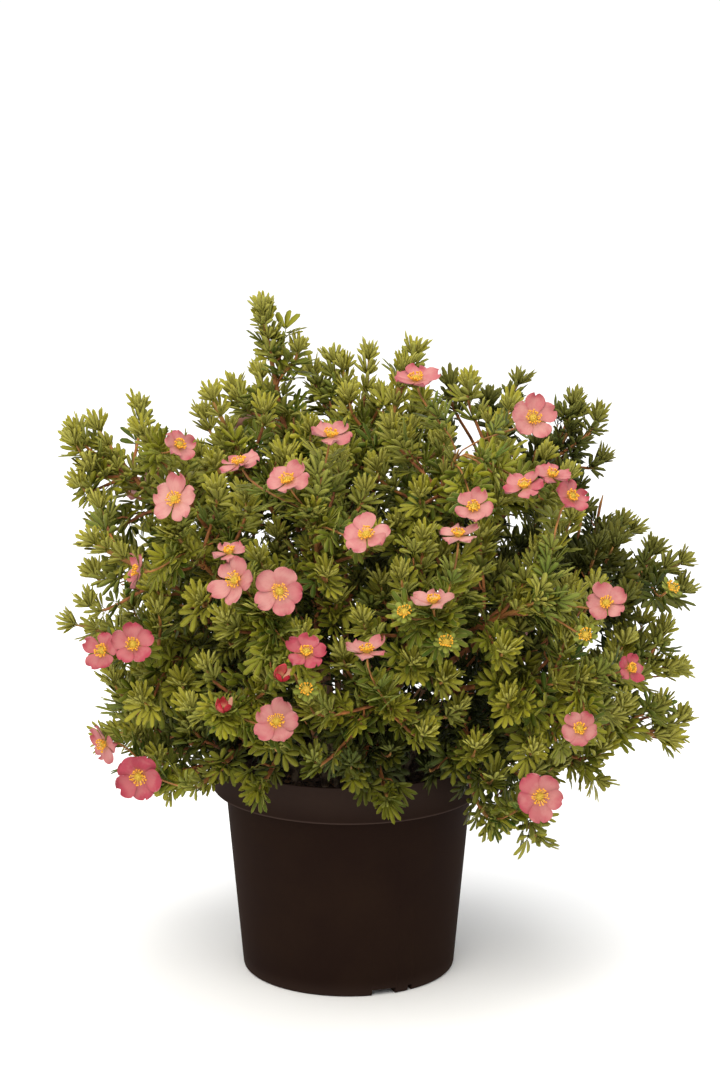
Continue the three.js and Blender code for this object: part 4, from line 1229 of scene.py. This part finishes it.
def mottled(tree, groups, first, second, size, contrast):
    colours = {"First": colour(first), "Second": colour(second)}
    return placed_group(tree, groups["mottle"], {**colours, "Size": size, "Contrast": contrast})


def skinned(tree, shader, groups, base, size, depth, strength):
    """Gives a shader its colour and a fine grain."""
    tree.links.new(base, shader.inputs["Base Color"])
    grain = placed_group(tree, groups["grain"], {"Size": size, "Depth": depth, "Strength": strength})
    tree.links.new(grain["Normal"], shader.inputs["Normal"])


def leaf_material(name, groups, dark, bright, young, margin, shaded, roughness):
    """Green in soft patches and leaf by leaf, yellower when young, with painted shade deep in the shrub and
    low before the pot, a paler margin and painted shade in the groove along the midrib."""
    material, tree, shader = new_material(name, roughness=roughness, specular_ior_level=0.18)
    blade = placed_group(tree, groups["blade"])
    patches = mottled(tree, groups, dark, bright, 60.0, 0.16)["Color"]
    base = mixed(tree, 0.72, patches, mixed(tree, blade["Chance"], colour(dark), colour(bright)))
    for effect, low, high, first, last, tint in (
        ("Age", 0.3, 1.0, 0.0, 0.7, young),
        ("Across", 0.72, 1.0, 0.0, 0.5, margin),
        # Painted shade in the groove along the midrib
        ("Across", 0.0, 0.16, 0.35, 0.0, dark),
        # Painted shade deep in the shrub, low before the pot and on the stems in the shade
        ("Depth", 0.0, 1.0, 0.0, 0.85, shaded),
    ):
        base = mixed(tree, stepped(tree, blade[effect], low, high, first, last), base, colour(tint))
    skinned(tree, shader, groups, base, 700.0, 0.0002, 0.5)
    return material


def petal_material(name, groups, pale, rose, claw, vein):
    """Pale pink with a deeper rim, fine lengthwise veins and a warm claw, and rosier on some flowers."""
    material, tree, shader = new_material(name, roughness=0.6, specular_ior_level=0.25)
    blade = placed_group(tree, groups["blade"])
    rim = stepped(tree, blade["Along"], 0.6, 1.05, 0.0, 0.3)
    side = stepped(tree, blade["Across"], 0.55, 1.05, 0.0, 0.15)
    own = maths(tree, "MULTIPLY", blade["Depth"], 0.8)
    chance = maths(tree, "MULTIPLY", blade["Chance"], 0.18)
    deep = maths(tree, "ADD", maths(tree, "MAXIMUM", rim, side), maths(tree, "ADD", own, chance), clamp=True)
    patches = placed_group(tree, groups["mottle"], {"Size": 110.0, "Contrast": 0.2})["Mask"]
    deep = maths(tree, "ADD", deep, stepped(tree, patches, 0.3, 1.0, 0.0, 0.2), clamp=True)
    base = mixed(tree, deep, colour(pale), colour(rose))
    place = node(tree, "Attribute", attribute_name="lie").outputs["Vector"]
    stretched = node(tree, "Mapping", {"Vector": place, "Scale": (9.0, 0.8, 1.0)}).outputs["Vector"]
    veins = node(tree, "TexNoise", {"Vector": stretched, "Scale": 2.2, "Detail": 3.0}).outputs["Fac"]
    base = mixed(tree, stepped(tree, veins, 0.5, 0.72, 0.0, vein), base, colour(rose))
    base = mixed(tree, stepped(tree, blade["Along"], 0.05, 0.34, 0.6, 0.0), base, colour(claw))
    tree.links.new(base, shader.inputs["Base Color"])
    bump = node(tree, "Bump", {"Height": veins, "Distance": 0.0004, "Strength": 0.5})
    tree.links.new(bump.outputs["Normal"], shader.inputs["Normal"])
    return material


def speckled_material(name, groups, first, second, size, roughness, depth, grain_size, contrast):
    """Two colours in soft patches, with a fine grain."""
    material, tree, shader = new_material(name, roughness=roughness)
    base = mottled(tree, groups, first, second, size, contrast)["Color"]
    skinned(tree, shader, groups, base, grain_size, depth, 0.7)
    return material


def bark_material(groups):
    """Grey-brown flaking bark at the foot, red-brown higher up and yellowish green at the tips."""
    material, tree, shader = new_material("bark", roughness=0.75)
    blade = placed_group(tree, groups["blade"])
    old = mottled(tree, groups, "4a3a2e", "8d7a66", 240.0, 0.15)["Color"]
    red = mottled(tree, groups, "6c3a1c", "ab6a34", 160.0, 0.2)["Color"]
    base = mixed(tree, stepped(tree, blade["Age"], 0.05, 0.4), old, red)
    base = mixed(tree, stepped(tree, blade["Age"], 0.8, 1.0, 0.0, 0.4), base, colour("8a7a34"))
    skinned(tree, shader, groups, base, 500.0, 0.0006, 0.8)
    return material


def pot_material(groups):
    """Dark moulded plastic, dull and slightly cloudy, greyer at the rim and the foot, with a painted
    highlight under the band.
    """
    sheen = {"sheen_weight": 0.027, "sheen_roughness": 0.45, "sheen_tint": colour("b07a66")}
    material, tree, shader = new_material("pot_plastic", roughness=0.8, specular_ior_level=0.03, **sheen)
    cloud = mottled(tree, groups, "1a0f0b", "20150f", 22.0, 0.3)
    place = node(tree, "TexCoord").outputs["Object"]
    height = node(tree, "SeparateXYZ", {"Vector": place}).outputs["Z"]
    # Paler at the rim band and at the very foot
    rim_paler = stepped(tree, height, 0.122, 0.15, 0.0, 0.42)
    foot_paler = stepped(tree, height, 0.012, 0.0, 0.0, 0.3)
    # A thin painted highlight along the ridge at the foot of the rim band
    lip = maths(tree, "ABSOLUTE", maths(tree, "SUBTRACT", height, (POT_BAND_FOOT + 0.6) * MM))
    lip_painted_highlight = stepped(tree, lip, 0.0, 0.0011, 0.75, 0.0)
    paler_and_painted_highlight = maths(tree, "ADD", maths(tree, "ADD", rim_paler, foot_paler), lip_painted_highlight, clamp=True)
    tree.links.new(stepped(tree, cloud["Mask"], 0.0, 1.0, 0.76, 0.88), shader.inputs["Roughness"])
    base = mixed(tree, paler_and_painted_highlight, cloud["Color"], colour("3a2e29"))
    skinned(tree, shader, groups, base, 1400.0, 0.0001, 0.35)
    return material


# Finishes as their colours from six hexadecimal digits each, then numbers, in the order that their
# material takes them
SPECKLED = {
    "peat": ("1d130d", "4a3526", 420.0, 0.95, 0.002, 900.0, 0.15),
    "bark_chip": ("5b3a22", "9a7450", 500.0, 0.85, 0.001, 900.0, 0.25),
    "filament": ("e9b63a", "f2d056", 800.0, 0.6, 0.0003, 900.0, 0.25),
    "anther": ("c98312", "efb325", 700.0, 0.7, 0.0005, 1500.0, 0.25),
    "pistil": ("b98f1e", "d8c04a", 900.0, 0.7, 0.0005, 1500.0, 0.25),
}
GREEN = {
    "leaf_upper": ("284208", "8e8a1e", "a59d33", "c2b468", "1c2406", 0.55),
    "leaf_under": ("4a5e1e", "92903e", "a69f48", "b8b26c", "28320e", 0.7),
    "sepal": ("5e6f24", "929a40", "b3a14e", "b9b874", "5e6f24", 0.6),
}
PINK = {
    "petal_front": ("bb8f84", "9b3a48", "b07a4a", 0.4),
    "petal_back": ("c69f90", "a45c65", "c2a072", 0.2),
    "bud_petal": ("d9a08a", "980c22", "b42034", 0.3),
    "bud_inner": ("e0c0a0", "c4404a", "e0c890", 0.2),
}


def make_materials():
    groups = {"mottle": mottle_group(), "grain": grain_group(), "blade": blade_group()}
    made = {"pot_plastic": pot_material(groups), "bark": bark_material(groups)}
    for make, finishes in ((speckled_material, SPECKLED), (leaf_material, GREEN), (petal_material, PINK)):
        for name, values in finishes.items():
            made[name] = make(name, groups, *values)
    return made


# Light, floor and camera

def floor():
    corners = np.array([(-1, -1, 0), (1, -1, 0), (1, 1, 0), (-1, 1, 0)]) * FLOOR_REACH
    obj = plain_mesh("floor", corners, [(0, 1, 2, 3)])
    material, _, shader = new_material("pale_floor", roughness=0.9)
    shader.inputs["Base Color"].default_value = (0.95, 0.95, 0.95, 1)
    obj.data.materials.append(material)


def area_light(name, place, size, power, tint):
    light = bpy.data.lights.new(name, "AREA")
    light.shape, light.size, light.energy, light.color = "DISK", size, power, tint
    obj = linked(name, light)
    obj.location = place
    obj.rotation_euler = (LIGHT_AIM - obj.location).to_track_quat("-Z", "Y").to_euler()


def studio():
    scene = bpy.context.scene
    scene.view_settings.view_transform = "Standard"
    world = bpy.data.worlds.new("studio")
    world.use_nodes = True
    background = world.node_tree.nodes["Background"].inputs
    background["Color"].default_value = (1, 1, 1, 1)
    background["Strength"].default_value = WORLD_LIGHT
    scene.world = world
    area_light("key", (-0.6, -1.9, 2.2), 2.4, 58, (1.0, 0.95, 0.86))
    area_light("top", (0.2, 0.1, 2.4), 1.8, 24, (1, 1, 1))


def camera():
    data = bpy.data.cameras.new("camera")
    data.sensor_fit = "VERTICAL"
    data.sensor_height = SENSOR
    data.lens = CAMERA_FOCUS_PIXELS * SENSOR / PHOTO_HEIGHT_PIXELS
    obj = linked("camera", data)
    place, aim = Vector(CAMERA_PLACE * MM), Vector(CAMERA_AIM * MM)
    turn = (aim - place).to_track_quat("-Z", "Y").to_matrix().to_4x4()
    obj.matrix_world = Matrix.Translation(place) @ turn
    bpy.context.scene.camera = obj


def plant(finishes):
    stems = grow_stems()
    flowers_in_all = [flower for entry in FLOWERS for flower in entry]
    tips = [shoot.points[-1] for stem in stems for shoot in stem["shoots"]]
    outline = Outline(np.array(tips + [flower[0] for flower in flowers_in_all], float))
    for middle, facing, _, _ in flowers_in_all:
        grow_stalk(stems, middle, facing, BACK_DEPTH)
    for head in OPENING_BUDS:
        grow_stalk(stems, *head, BUD_DEPTH)
    owners = [grow_stalk(stems, *head, BACK_DEPTH - 2 * CALYX_GAP) for head in SEED_HEADS]
    heads, templates = Heads(), leaf_templates()
    fill_shrub(stems, outline, heads)
    for number, stem in enumerate(stems):
        leafy_stem(number, stem, heads, outline, templates, finishes)
    flowers(finishes)
    opening_buds(finishes)
    seed_heads(finishes, owners)


camera()
studio()
floor()
materials = make_materials()
pot(materials)
soil(materials)
plant(materials)
